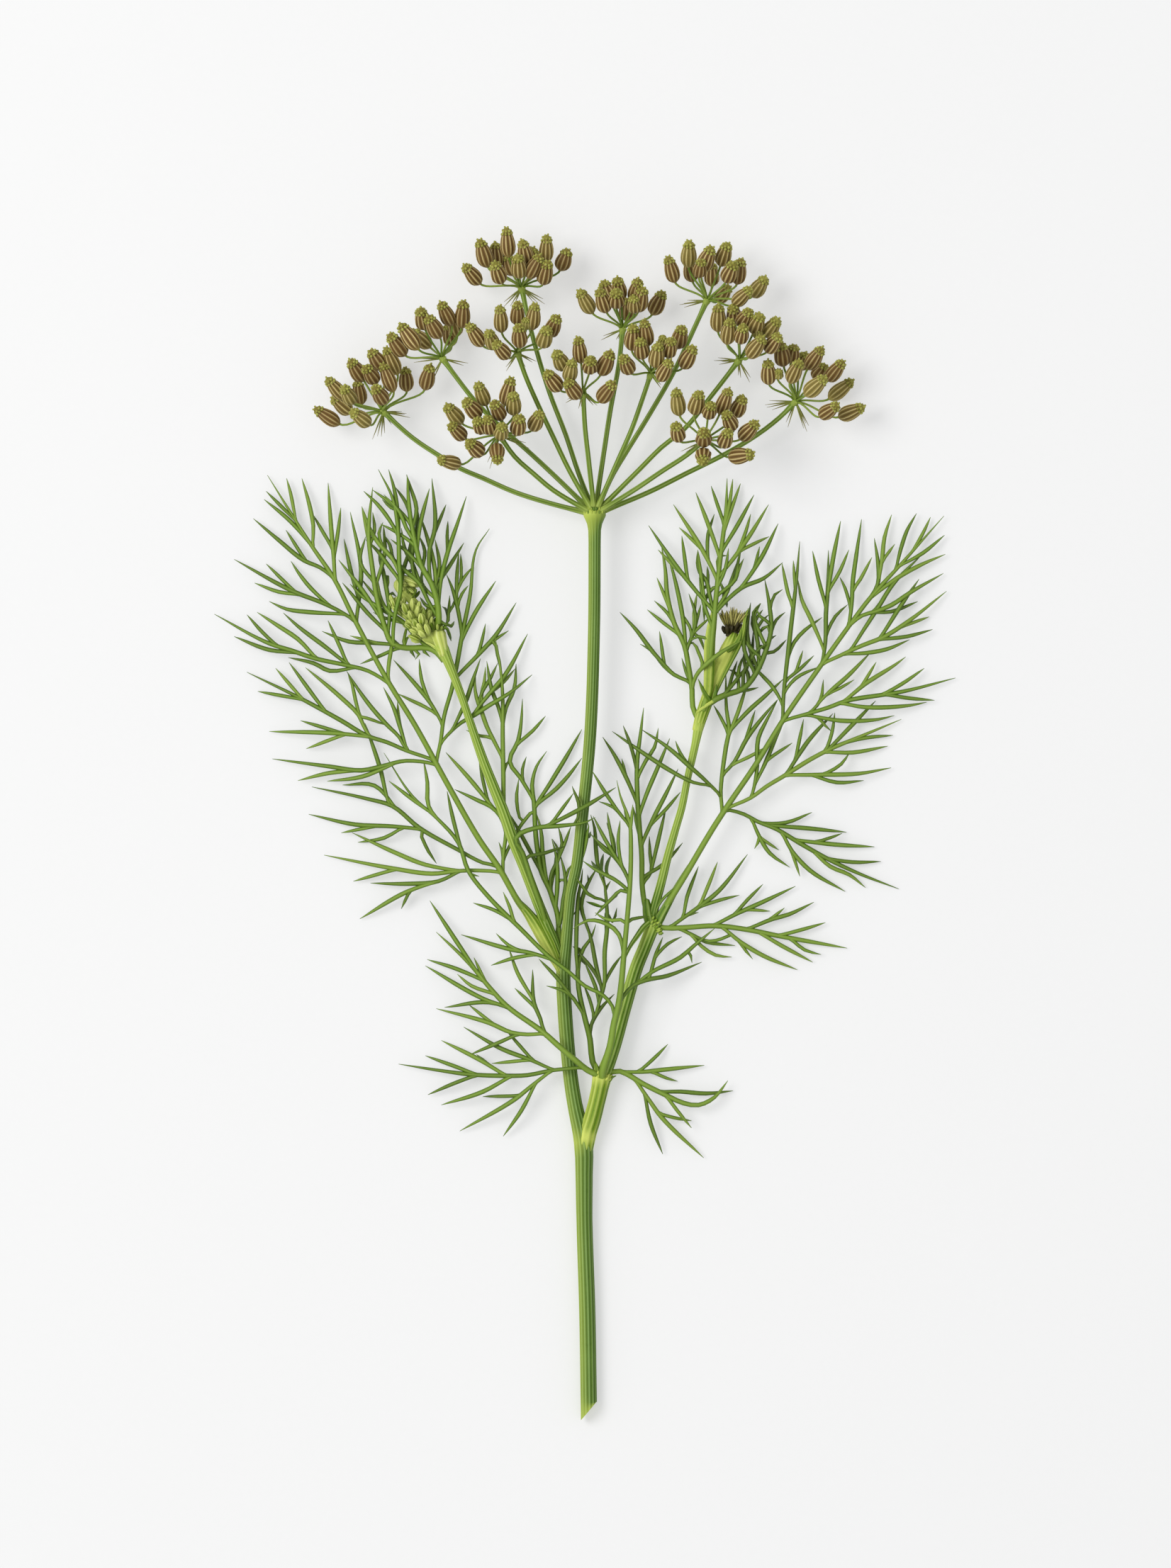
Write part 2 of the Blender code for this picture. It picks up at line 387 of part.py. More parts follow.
    "right_low_leaf": """
12.2,-15.9,2.4 15,-16.2,2 20.5,-16,1.4 25.5,-16.6 30.5,-17.6 41.1,-19.5
  20.5,-16 24,-14 28,-12.2 33,-9.8
    23.8,-14.1 25.5,-11.9 27.9,-9.5
    25.8,-13.4 29,-13.7
  25.8,-16.6 29.5,-14.9 32,-14.2 35.9,-12.3
    29.3,-15 31.3,-13.2
  30.7,-17.6 34,-16.6 37.7,-15.5
  27.5,-17 31,-19.2 35.7,-21.7
  32.6,-18 34.5,-19.8 37,-20.5
  21.8,-16.2 24.5,-18.6 28,-20.7 33.3,-22.9
    24.5,-18.6 25.3,-20 26.3,-21.2
    23.6,-17.7 21.5,-18 19.5,-18.4 17.8,-17.8,2
  13.6,-16 15.6,-14.6 18.3,-12.7 21,-10.5 25.5,-4.8
    18.3,-12.7 19.2,-10 20.8,-6
    18.2,-12.8 21,-12 24.2,-11.2
    15.8,-14.5 16,-11.5 17.8,-6.7
    16.6,-14 17.8,-13.9
  15,-16.2 16.8,-17.4 19,-18.5,0.7 23.5,-19.1,0.5
    17,-17.5 18.3,-19.2 20.5,-20.6 23,-20.9
""",
    "right_frond": """
16.7,18.8,2.4 16.8,21,2.4 16.2,25,2 15.6,28,1.8 14,31.5,1.4 12.9,36 12.6,40 12,43.7
  16.6,22.6 14,23.4 12.4,24.8 10.5,27.1 8.7,28.2
    13.4,23.8 10.8,26.8 8,30.5 5.5,33.2
    12.4,25.2 11.7,30.2
  16.6,22 15.8,24 15.2,26
  15.8,27.6 17,30 17.4,32.5 16.3,36.1
    17.3,31.4 18.2,34.4
    17.3,31 17.1,33 17.6,36.3
    17.3,30.6 18,29.2 18.7,27.2
    16.9,29.9 16.4,31 15.4,32.6 14.9,34
    17.2,30.4 19.6,32.4
  14.6,30 12.5,31.4 9.8,33.6
  14.2,31 13,33 10.9,35
  13.4,33.8 12.4,36 11.3,38.6
  15.7,27.4 15.4,32 14.2,38 13,42.4
""",
    "right_frond_tall": """
18.8,19.8,5.2 19.4,22,5.6 19.9,27,5.6 20.2,32,4.6 20.8,38,3.6 21.5,44,2.8 22.1,49,2 22.3,54.2,1.2
  22,47 22.7,50.5 23.2,54.1
  21.9,46 23,49.5 24.4,53.4
  21.9,47.3 20.8,50 19.8,53
  21.5,43 24,47 26.5,51.6
  21.3,42 19.5,46.5 17.4,52
  20.6,38.6 18.4,43 13.9,50.1
    18.2,43.4 16.6,44.8 14.8,46.5
    19.2,41.8 19.3,45.4 20.3,48.6
  20.3,33.4 24.5,37 28,38.5 31,41,2
    24.8,37.2 27.5,41.5 30.3,47.1
      26.8,40.4 27.4,43.5
  21,39 23.8,42.3 26,45.5 28.8,50.1
    24.2,42.8 25.2,45.8 26,48.6
    24.4,43 26.6,44 28.9,45.1
  20.7,37 22.6,39.6 24.2,42,3.6
  20.9,33.9 21.9,35.6 22.9,38 23.8,41
    21.9,35.8 21.6,37 21,38.2
    22,36 22.1,34.9 22.3,34
  23.4,35.9 23.6,38.4 24,41 24.5,43.2
    23.9,39.4 24.4,40.6 24.9,41.6
  20.1,33.2 19.5,36 19.1,38 18,39.5 17.6,41 17.7,42.9
    19.2,38 19.3,39 19.2,40.4
    19.1,38 18.6,37 18.1,36
  20.1,40.1 21,41.9 22.3,42.1
  20.9,37.4 22,40 22.5,43.2,3.4
  20.2,33.6 17.5,36.4 14.5,40.2 10,46.8
    15.6,38.8 13.6,40.8 11.5,43
    15.9,38.5 15.6,42 15.2,45.2
    18.6,35.4 18.2,39 17.7,43
  20.1,31 18.6,34.6 17.9,38.6,3.6
  20,29 17.8,29.4,4.4 16.4,28.6,4
""",
    "right_bud_frond": """
20.6,19.6,4.6 22.5,20.4,3.4 24.8,21.2,2.8 26.8,23.6,2.6 28.3,27,2.6 29.2,30.5 28.9,34.5 28.2,38.4
  28.9,34.2 29.8,36 31,36.8
  29.2,30 30,32 31.4,33.2
  28.4,27.4 29.6,27 31.6,28.9
  28.5,28 27.6,27.9 26.8,27.8
    28,28 28.8,28.8 30,29.6
  28.9,29.4 28.7,31 27.3,29.9 26.9,28.6
  27.3,24.6 26,27 25.4,30,3 26,34.7
    25.4,30.4 24.9,32.6 25.4,33.5
  28.6,28 27.2,30.4 26.6,32.6 27.6,34.6
  28,26.2 25.6,28,3.4 24.8,31
  26.9,24 25.8,25.2 25,27.2 24.9,29.4 25.6,32.3,3.4
    25,28.4 24.4,29.8 24.6,31.6
  27.4,24.8 27.2,26.6 27.1,28.4 26.6,31 26.4,33.2 27.5,34.6
    26.7,30.6 27.8,31.9 28.9,32.9
    26.5,31.8 27.2,32.7 27.9,33.6
    26.8,30 26.2,31.4 26.1,32.6
  25.2,21.6 24.8,23.6 25.9,25.8 26.3,28 26.4,30.2
    25.6,25 25.6,23.6 26,22.2
    26,26.2 26.8,25 27.8,24.4
  24.6,21.2 24,22.6 24.2,24.6 25,26.6
    24.1,23.6 23.2,24 22.6,24.2
  26,22.6 25,25.4 25.1,28
    25.1,24.6 26.6,26.8 28.6,28.4,3.6
  24.2,21 25.6,21 27.2,21.4
  22,20.2 23.6,22.4,3.2 25.2,24.6
    22.8,21.2 23.2,23.6 23.9,25.6
  29.1,31.8 27.4,32.6 26.8,33.8,3.4
""",
    "left_frond": """
-23.6,27.3,1.2 -24.8,27.8,1.1 -28,27.6,1.6 -30.2,28.3,2.6 -31.4,31,2.4 -32.6,35.4,2.6 -33.3,40,2.6
+-33.9,45,2.4 -33.3,52.8
  -29.4,27.8 -32.5,26.2,2.5 -35.2,25.1,2.2
  -27.6,27.7 -26,26.6 -26.6,25.8,1.6
  -30.2,28.2 -33.5,28.4,2.6 -37,28.6,2.4 -41.2,30.2,2.2
    -33,28.4 -36.8,29.5,2.6
  -31.3,30.6 -34,33 -38,37.8,2.6
  -31.8,32.2 -35,36.8 -38.6,41.4,2.4
  -32.4,34.4 -34.8,35.6,2.8 -36.8,37.6,2.6
  -33,37.6 -31.4,42.4 -31.6,46.9
  -33.1,38.4 -35.2,41 -34.4,45,3
  -33.8,44.2 -34.4,47 -35,49.7
  -33.9,44 -33,46 -33.3,48.9
  -30.6,28.8 -30.4,33 -31.1,37 -29.2,42.4,3.4 -29.6,48 -32.3,55.5,1.6
    -29.4,42.6 -31.6,46.4 -34.6,52.2
    -29.2,43.4 -28.8,48 -30.8,55.6
    -29.7,50 -31.6,51.6 -33.3,52.5
  -30.6,30.2 -30.6,33 -30.9,35.6 -31.6,39.4 -32.2,42.4 -31.2,45
    -31.2,37.6 -30.9,38.8 -31.8,39.2
  -24.6,27.8 -26,28.8,2.2 -27.2,30.2 -28.2,31.4 -30.4,33,3.2 -32.5,35.3 -35.3,38.7
    -29.8,32.6 -32.2,33.8 -34.3,35.3
    -28.8,31.8 -31.4,32.3 -33.2,33.2
    -31.6,34.4 -32.2,36 -32.5,38.4
  -28.8,27.8 -28.2,29.8 -27.8,31.4
    -28.6,28.6 -28,29 -27.3,29.8
  -26,27.8 -25.2,27 -24.3,26.2
  -27.9,27.6 -27.2,27 -26.6,26
""",
    "left_frond_tall": """
-22.9,31.5,5.2 -23,34,5.4 -24,37.6,5.2 -25.6,40.4,4.8 -26.6,44,4.2 -27.4,48.4,3.4 -27.9,54.7,1.8
  -26.9,45.4 -29.2,47.8 -31.6,51.6,3.2
  -26.2,46.8 -26.4,49.4 -27.3,52.6 -28,54.8
  -27.3,48.8 -28,50.2 -29.7,52.8
  -23.2,36.4 -23.5,39.8 -24.3,43.4 -25.9,48.6
  -23.4,35.6 -24.8,36.6 -25.6,37.8 -25.4,40.4
  -25.3,40.6 -25.1,42.8 -26,45.2
  -26.4,43.2 -25.8,47 -24.4,52.6
  -24.4,38.4 -24.4,42.6 -23.5,46.5 -24,54.2
    -23.8,45.4 -22.8,47.6 -21.8,50.1
  -23.6,36.4 -22.7,38.1 -21.2,40.5 -19,44.1
  -23,34 -22.6,38 -21.5,42.6 -19.9,47.4 -18.6,51.4
    -21.4,43 -21.6,45.2 -21.5,47.5
  -23.9,37.2 -22.8,40.4 -23.5,44.6
  -25.4,40 -27.6,42.4 -30.4,44.6,4
  -26.6,44 -29,45.4,4.6 -32,47,4.6
""",
}

# Umbellets: where the ray ends, its tier at the hub, and each seed's stalk end and crown in plan.
umbelletPlans = [
    ((-31.6, 64.6, 4.6), "low", """
-38.4,62.6 -42.3,65.1
-33.6,62.4 -36.5,64.6
-36.6,64.4 -39.6,66.9
-37.6,66.6 -40.4,69.8
-36.2,65.8 -37.8,68.4
-35.1,65.7 -35.7,69.6
-34.6,69.4 -36.8,72.6
-32.6,69.0 -34.4,71.6
-31.6,71.2 -33.6,74.2
-31.2,65.8 -32.9,68.4
-29.9,67.6 -31.7,72.0
-27.9,67.8 -28.2,71.5
-29.3,70.4 -31.2,74.6
-25.1,68.0 -24.2,71.9
"""),
    ((-22.3, 72.9, 6.2), "low", """
-28.1,73.3 -30.6,76.6
-26.0,74.2 -28.9,78.2
-24.2,74.7 -27.0,77.4
-22.6,76.0 -24.6,79.4
-25.0,77.4 -25.8,80.6
-20.9,74.9 -21.5,78.4
-20.8,78.0 -22.6,81.6
-19.3,77.6 -19.0,81.8
-20.0,76.4 -20.9,79.8
"""),
    ((-9.9, 84.0, 4.6), "low", """
-16.4,84.6 -18.9,87.5
-15.2,87.2 -16.5,91.5
-13.7,87.1 -14.1,91.2
-13.0,84.6 -14.2,87.8
-11.9,88.7 -12.3,93.3
-11.2,86.0 -12.4,89.3
-10.2,85.4 -10.5,88.9
-9.0,87.4 -9.8,91.3
-7.8,86.4 -8.2,90.4
-6.1,88.0 -6.0,92.1
-6.6,84.4 -5.8,88.0
-3.9,86.7 -2.7,90.0
"""),
    ((-10.5, 73.7, 9.0), "high", """
-15.9,74.7 -18.2,78.1
-14.1,74.2 -15.1,77.0
-11.9,72.8 -14.1,75.2
-13.0,76.8 -13.3,80.9
-10.1,74.4 -10.4,77.9
-10.6,78.0 -10.5,81.5
-8.3,77.2 -7.8,81.3
-6.7,74.5 -5.9,77.5
-5.6,76.2 -4.3,79.4
"""),
    ((-13.3, 60.7, 9.6), "high", """
-19.2,62.6 -21.7,65.5
-18.7,60.2 -21.1,62.5
-16.4,63.6 -18.8,66.2
-15.4,65.4 -16.8,68.9
-15.9,61.2 -16.9,63.1
-14.7,61.0 -15.3,63.5
-12.9,63.2 -14.3,65.9
-12.6,65.4 -11.5,69.7
-11.1,63.9 -11.2,67.3
-10.6,60.8 -10.2,63.7
-8.3,61.5 -6.9,64.4
-13.2,60.2 -12.9,62.3
-16.0,57.7 -18.3,59.7
-13.8,59.4 -13.6,56.4
-19.4,56.2 -22.9,57.0
"""),
    ((-0.3, 67.4, 9.8), "high", """
-3.8,67.7 -6.1,70.6
-0.9,66.5 -2.9,69.2
-2.6,69.0 -1.9,72.4
-3.1,71.0 -4.6,73.7
-0.6,72.0 -1.1,76.0
2.4,70.1 4.1,73.8
0.7,70.6 0.9,72.6
2.2,65.9 4.5,69.0
"""),
    ((5.9, 77.5, 5.6), "low", """
1.2,79.9 -0.9,83.5
3.4,80.0 2.2,83.6
4.0,82.0 2.9,85.1
5.6,82.0 5.0,85.4
4.9,80.9 4.9,83.3
6.5,78.9 6.6,82.4
8.3,80.1 9.1,83.9
7.7,81.6 8.3,85.2
10.5,79.8 12.2,83.4
"""),
    ((19.1, 82.0, 4.6), "low", """
14.1,84.8 13.0,88.8
16.2,87.2 16.3,91.3
16.9,85.0 16.2,88.6
18.2,86.4 19.8,90.3
21.2,87.4 22.3,90.9
19.9,84.3 19.9,88.0
23.8,84.5 24.4,88.4
22.0,84.8 23.3,87.8
20.7,81.9 22.6,84.4
23.2,81.2 25.9,83.8
26.2,82.6 28.3,85.6
"""),
    ((10.3, 70.4, 9.2), "high", """
7.2,70.4 5.9,73.0
7.3,74.0 7.6,77.9
9.9,74.7 9.2,78.7
9.0,72.7 8.6,75.7
11.0,71.3 11.4,75.0
13.0,72.9 13.5,75.8
14.4,74.4 15.2,77.7
15.2,71.2 17.0,74.6
11.6,69.2 13.3,72.4
"""),
    ((24.1, 72.6, 6.2), "mid", """
20.8,77.0 20.9,81.3
22.2,75.0 22.7,78.9
23.5,78.6 23.1,81.0
24.2,75.2 24.8,77.9
24.2,77.8 25.8,80.4
25.5,72.9 27.9,76.2
26.3,76.8 27.4,79.7
28.2,76.3 30.2,79.0
28.4,73.8 30.4,76.5
"""),
    ((33.0, 66.2, 4.6), "low", """
28.8,68.8 28.6,72.5
31.1,71.7 30.6,75.3
32.2,72.2 32.8,75.0
32.0,69.0 33.6,72.5
34.8,71.2 37.1,74.6
33.6,71.2 34.6,73.9
34.4,67.0 37.6,69.9
38.0,69.4 40.4,72.5
38.2,66.6 42.0,69.6
36.7,63.7 39.6,65.6
39.7,63.7 43.7,65.4
36.0,69.6 37.7,72.0
"""),
    ((18.5, 59.9, 9.6), "high", """
14.8,63.8 14.2,67.9
17.0,64.0 17.9,67.5
19.2,63.5 19.7,65.6
21.0,64.0 22.5,68.0
23.4,63.7 24.7,66.8
23.3,61.6 21.9,64.3
14.8,59.8 14.1,62.5
18.5,59.2 18.6,61.4
21.5,58.9 22.4,61.4
24.2,60.1 26.9,62.8
18.5,58.4 18.4,56.4
22.4,57.3 26.3,57.8
"""),
]

colours = {
    "stem_green": ((0.16, 0.27, 0.07), 0.5),
    "sheath_green": ((0.30, 0.40, 0.06), 0.5),
    "leaf_green": ((0.10, 0.19, 0.03), 0.55),
    "bud_green": ((0.36, 0.46, 0.08), 0.6),
    "bud_brown": ((0.20, 0.15, 0.04), 0.7),
    "seed_brown": ((0.16, 0.11, 0.04), 0.7),
}


def clearScene():
    for thing in list(bpy.data.objects):
        bpy.data.objects.remove(thing, do_unlink=True)


def makeCollection(name):
    collection = bpy.data.collections.new(name)
    bpy.context.scene.collection.children.link(collection)
    return collection


def makeMaterial(name):
    colour, roughness = colours[name]
    material = bpy.data.materials.new(name)
    material.use_nodes = True
    shader = material.node_tree.nodes["Principled BSDF"]
    shader.inputs["Base Color"].default_value = (*colour, 1.0)
    shader.inputs["Roughness"].default_value = roughness
    return material


def tubeMesh(runs, sides):
    """One mesh of closed tapering tubes, from runs of (x, y, z, radius) in millimetres."""
    curve = bpy.data.curves.new("run", "CURVE")
    curve.dimensions = "3D"
    curve.bevel_depth = MM
    curve.bevel_resolution = sides // 2 - 2
    curve.use_fill_caps = True
    for run in runs:
        spline = curve.splines.new("POLY")
        spline.points.add(len(run) - 1)
        for point, (x, y, z, radius) in zip(spline.points, run):
            point.co = (x * MM, y * MM, z * MM, 1.0)
            point.radius = radius
    holder = bpy.data.objects.new("run", curve)
    bpy.context.scene.collection.objects.link(holder)
    bpy.context.view_layer.update()
    evaluated = holder.evaluated_get(bpy.context.evaluated_depsgraph_get())
    mesh = bpy.data.meshes.new_from_object(evaluated)
    bpy.data.objects.remove(holder, do_unlink=True)
    shape = bmesh.new()
    shape.from_mesh(mesh)
    bmesh.ops.remove_doubles(shape, verts=shape.verts, dist=1e-6)
    bmesh.ops.recalc_face_normals(shape, faces=shape.faces)
    shape.to_mesh(mesh)
    shape.free()
    return mesh


def placePart(name, mesh, materialName):
    part = bpy.data.objects.new(name, mesh)
    plant.objects.link(part)
    mesh.materials.clear()
    mesh.materials.append(materials[materialName])
    mesh.shade_smooth()
    mesh.set_sharp_from_angle(angle=math.radians(60))
    return part


def uniteWith(part, mesh):
    """Make the part's own tubes and one more mesh into a single closed body."""
    joiner = bpy.data.objects.new(part.name + "_joiner", mesh)
    cutters.objects.link(joiner)
    joiner.hide_render = True
    joiner.display_type = "WIRE"
    union = part.modifiers.new("one_body", "BOOLEAN")
    union.operation = "UNION"
    union.object = joiner
    union.use_self = True


def readOutline(text):
    """A leaf's branches from its indented outline: (depth, points), a point being [x, y, z or None]."""
    branches = []
    for line in text.strip("\n").replace("\n+", " ").splitlines():
        depth = (len(line) - len(line.lstrip())) // 2
        points = []
        for word in line.split():
            numbers = [float(number) for number in word.split(",")]
            points.append(numbers if len(numbers) == 3 else numbers + [None])
        branches.append((depth, points))
    return branches


def nearestOn(path, point):
    """The place on a path of (x, y, z, radius) nearest to a point in plan."""
    best = None
    for first, second in zip(path, path[1:]):
        start = Vector(first[:2])
        end = Vector(second[:2])
        spot, share = geometry.intersect_point_line(Vector(point[:2]), start, end)
        share = min(1.0, max(0.0, share))
        found = [one + (two - one) * share for one, two in zip(first, second)]
        gap = (Vector(found[:2]) - Vector(point[:2])).length
        if best is None or gap < best[0]:
            best = (gap, found)
    return best[1]


def fillHeights(points):
    """Give every point a height, evenly along the path between the ones that have one."""
    travelled = [0.0]
    for first, second in zip(points, points[1:]):
        travelled.append(travelled[-1] + math.dist(first[:2], second[:2]))
    known = [index for index, point in enumerate(points) if point[2] is not None]
    for before, after in zip(known, known[1:]):
        for index in range(before + 1, after):
            share = (travelled[index] - travelled[before]) / (travelled[after] - travelled[before])
            points[index][2] = points[before][2] + (points[after][2] - points[before][2]) * share
    return travelled


def straightened(path):
    """Drop the points that lie within the tolerance of a straight run."""
    if len(path) < 3:
        return path
    start = Vector(path[0][:3])
    end = Vector(path[-1][:3])
    gaps = []
    for point in path[1:-1]:
        spot, share = geometry.intersect_point_line(Vector(point[:3]), start, end)
        gaps.append((Vector(point[:3]) - spot).length)
    if max(gaps) < OUTLINE_TOLERANCE:
        return [path[0], path[-1]]
    corner = gaps.index(max(gaps)) + 1
    return straightened(path[:corner + 1])[:-1] + straightened(path[corner:])


def leafRuns(text):
    """Tapering tubes for every branch of a leaf, each one starting inside its parent."""
    runs = []
    parents = []
    for depth, points in readOutline(text):
        del parents[depth:]
        startRadius = PETIOLE_RADIUS
        if parents:
            root = nearestOn(parents[-1], points[0])
            points[0] = root[:3]
            startRadius = min(0.9 * THREAD_RADIUS, 0.8 * root[3])
        if points[-1][2] is None:
            points[-1][2] = TIP_HEIGHT
        travelled = fillHeights(points)
        path = []
        for point, distance in zip(points, travelled):
            share = distance / travelled[-1]
            radius = startRadius + (THREAD_RADIUS - startRadius) * min(1.0, share / SWELL_BY)
            taper = max(0.0, share - TAPER_FROM) / (1.0 - TAPER_FROM)
            path.append((*point, radius * (1.0 - (1.0 - TIP_RADIUS) * taper)))
        run = straightened(path)
        if len(run) == 2 and travelled[-1] > LONG_THREAD:
            middle = [(one + two) / 2 for one, two in zip(run[0], run[1])]
            run = [run[0], (*middle[:3], THREAD_RADIUS), run[1]]
        run = [(x, y, max(z, radius + FLOOR_GAP), radius) for x, y, z, radius in run]
        parents.append(run)
        runs.append(run)
    return runs


def buildStem(name, plan):
    materialName, points = plan
    sides = 6 if "bud" in name else 8
    return placePart(name, tubeMesh([points], sides), materialName)


def buildLeaf(name, text):
    runs = leafRuns(text)
    leaf = placePart(name, tubeMesh(runs[1:], 4), "leaf_green")
    uniteWith(leaf, tubeMesh(runs[:1], 4))


def buildRay(number, end, tier):
    """One ray of the umbel, sagging the more it leans over, from the hub to its umbellet."""
    hub = Vector(HUB)
    tip = Vector(end)
    aim = (tip - hub).normalized()
    start = hub + Vector((aim.x * HUB_RADIUS, aim.y * HUB_RADIUS, rayTiers[tier]))
    side = Vector((math.copysign(aim.y, aim.x), -abs(aim.x), 0.0))
    bow = side * RAY_BOW * (tip - hub).length * abs(aim.x) ** 1.5
    points = []
    for step in range(5):
        share = step / 4
        spot = start.lerp(tip - aim * (KNOB_RADIUS + GAP), share) + bow * math.sin(math.pi * share)
        points.append((*spot, RAY_RADIUS))
    placePart(f"ray_{number:02d}", tubeMesh([points], 6), "stem_green")


def seedRun(knob, foot, crown, downward):
    """A stalk and its seed. What the plan doesn't show of their lengths goes into their heights."""
    reach = (foot - knob.xy).length
    rise = SEED_SPREAD * math.sqrt(max(0.0, STALK_LENGTH ** 2 - reach ** 2))
    footHeight = max(SEED_RADIUS + GAP, knob.z + (-rise if downward else rise))
    tilt = SEED_SPREAD * math.sqrt(max(0.0, SEED_LENGTH ** 2 - (crown - foot).length_squared))
    base = Vector((*foot, footHeight))
    top = Vector((*crown, footHeight + tilt * (DOWNWARD_TILT if downward else 1.0)))
    places = [(knob, STALK_RADIUS), (base, STALK_RADIUS),
              (base.lerp(top, SEED_WIDEST), SEED_RADIUS), (top, CROWN_RADIUS)]
    return [(*spot, radius) for spot, radius in places]


def buildUmbellet(number, end, tier, text):
    """A knob, the stalks on it and their seeds, as one body."""
    knob = Vector(end)
    runs = []
    for index, line in enumerate(text.split("\n")[1:-1]):
        foot, crown = (Vector([float(part) for part in word.split(",")]) for word in line.split())
        downward = tier == "low" and index % 3 == 2
        runs.append(seedRun(knob, foot, crown, downward))
    umbellet = placePart(f"umbellet_{number:02d}", tubeMesh(runs, 4), "seed_brown")
    ball = bmesh.new()
    bmesh.ops.create_uvsphere(ball, u_segments=6, v_segments=4, radius=KNOB_RADIUS * MM)
    bmesh.ops.translate(ball, verts=ball.verts, vec=knob * MM)
    mesh = bpy.data.meshes.new("knob")
    ball.to_mesh(mesh)
    ball.free()
    uniteWith(umbellet, mesh)


clearScene()
plant = makeCollection("dill_sprig")
cutters = makeCollection("joiners")
materials = {name: makeMaterial(name) for name in colours}
for name, plan in stemPlans.items():
    buildStem(name, plan)
for name, outline in leafOutlines.items():
    buildLeaf(name, outline)
for number, (end, tier, text) in enumerate(umbelletPlans, start=1):
    buildRay(number, end, tier)
    buildUmbellet(number, end, tier, text)
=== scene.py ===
# A cut dill sprig lying flat: ridged stems, thread leaves, two buds and an umbel of ribbed seeds.
import math
import random

import bmesh
import bpy
from mathutils import Matrix, Vector, geometry


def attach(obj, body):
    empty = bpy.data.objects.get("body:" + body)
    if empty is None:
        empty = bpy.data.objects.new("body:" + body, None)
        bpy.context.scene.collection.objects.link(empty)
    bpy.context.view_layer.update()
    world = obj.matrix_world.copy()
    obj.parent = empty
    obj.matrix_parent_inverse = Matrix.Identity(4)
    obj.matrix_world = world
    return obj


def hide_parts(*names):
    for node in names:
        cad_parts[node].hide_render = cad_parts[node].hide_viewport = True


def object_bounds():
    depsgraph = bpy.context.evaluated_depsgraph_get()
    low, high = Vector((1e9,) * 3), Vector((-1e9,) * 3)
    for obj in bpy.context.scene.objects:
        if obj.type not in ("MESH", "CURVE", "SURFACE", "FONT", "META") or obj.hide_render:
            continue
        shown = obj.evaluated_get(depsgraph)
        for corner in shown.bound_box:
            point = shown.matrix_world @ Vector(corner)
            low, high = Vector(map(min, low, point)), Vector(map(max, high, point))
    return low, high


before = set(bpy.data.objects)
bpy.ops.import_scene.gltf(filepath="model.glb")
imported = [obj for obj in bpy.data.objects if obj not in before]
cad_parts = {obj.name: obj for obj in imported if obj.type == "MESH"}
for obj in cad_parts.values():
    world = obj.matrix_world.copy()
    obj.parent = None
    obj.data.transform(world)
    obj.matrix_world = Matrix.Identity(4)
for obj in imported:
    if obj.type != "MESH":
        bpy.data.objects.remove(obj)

cadLow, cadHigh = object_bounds()
cadMiddle = (cadLow + cadHigh) / 2
print("frame loaded:", len(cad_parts), "nodes")

mm = 0.001    # every path below is in millimetres from the sprig's own origin
upward = Vector((0, 0, 1))
standing = 0.85    # a run that rises more steeply than this counts as standing
quickTurn = 0.9    # how soon a thread turns away from the run it leaves


def newShape():
    shape = bmesh.new()
    marks = {name: shape.verts.layers.float.new(name) for name in ("along", "ridgeAndTopLight", "tone")}
    return shape, marks


def steadySide(path):
    # one sideways reference for a whole run, so that its section never twists
    chord = (path[-1][0] - path[0][0]).normalized()
    if abs(chord.z) < standing:
        return upward
    return Vector((1, 0, 0)) if abs(chord.x) < abs(chord.y) else Vector((0, 1, 0))


def pathShares(points):
    travelled = [0.0]
    for first, second in zip(points, points[1:]):
        travelled.append(travelled[-1] + (second - first).length)
    return [distance / travelled[-1] for distance in travelled], travelled[-1]


def sweepRun(shape, marks, path, sides, section=None, tone=0.0, flat=1.0, span=(0.0, 1.0),
             startCap=0.5, endCap=0.5):
    # a closed tapering body along a path of points and radii; section gives bulge and the ridge mark at an
    # angle, which on the threads is painted light along the top
    reference = steadySide(path)
    shares = pathShares([point for point, radius in path])[0]
    rings = []
    for index, (point, radius) in enumerate(path):
        before = path[max(index - 1, 0)][0]
        after = path[min(index + 1, len(path) - 1)][0]
        heading = (after - before).normalized()
        side = heading.cross(reference).normalized()
        lift = side.cross(heading)
        share = shares[index]
        ringVerts = []
        for step in range(sides):
            angle = 2 * math.pi * step / sides
            bulge, ridgeAndTopLight = section(angle, share) if section else (1.0, 0.5)
            reach = (side * math.cos(angle) + lift * math.sin(angle) * flat) * radius * bulge
            vert = shape.verts.new(point + reach)
            vert[marks["along"]] = span[0] + (span[1] - span[0]) * share
            vert[marks["ridgeAndTopLight"]] = ridgeAndTopLight
            vert[marks["tone"]] = tone(share, angle) if callable(tone) else tone
            ringVerts.append(vert)
        rings.append((ringVerts, point, heading, radius))
    for lower, upper in zip(rings, rings[1:]):
        for step in range(sides):
            after = (step + 1) % sides
            shape.faces.new((lower[0][step], lower[0][after], upper[0][after], upper[0][step]))
    for ringVerts, point, heading, radius, sign, cap in (
            (*rings[0], -1, startCap), (*rings[-1], 1, endCap)):
        pole = shape.verts.new(point + heading * sign * radius * cap)
        for name in ("along", "tone"):
            pole[marks[name]] = ringVerts[0][marks[name]]
        pole[marks["ridgeAndTopLight"]] = 0.5
        for step in range(sides):
            after = (step + 1) % sides
            shape.faces.new((ringVerts[step], ringVerts[after], pole))
    return rings


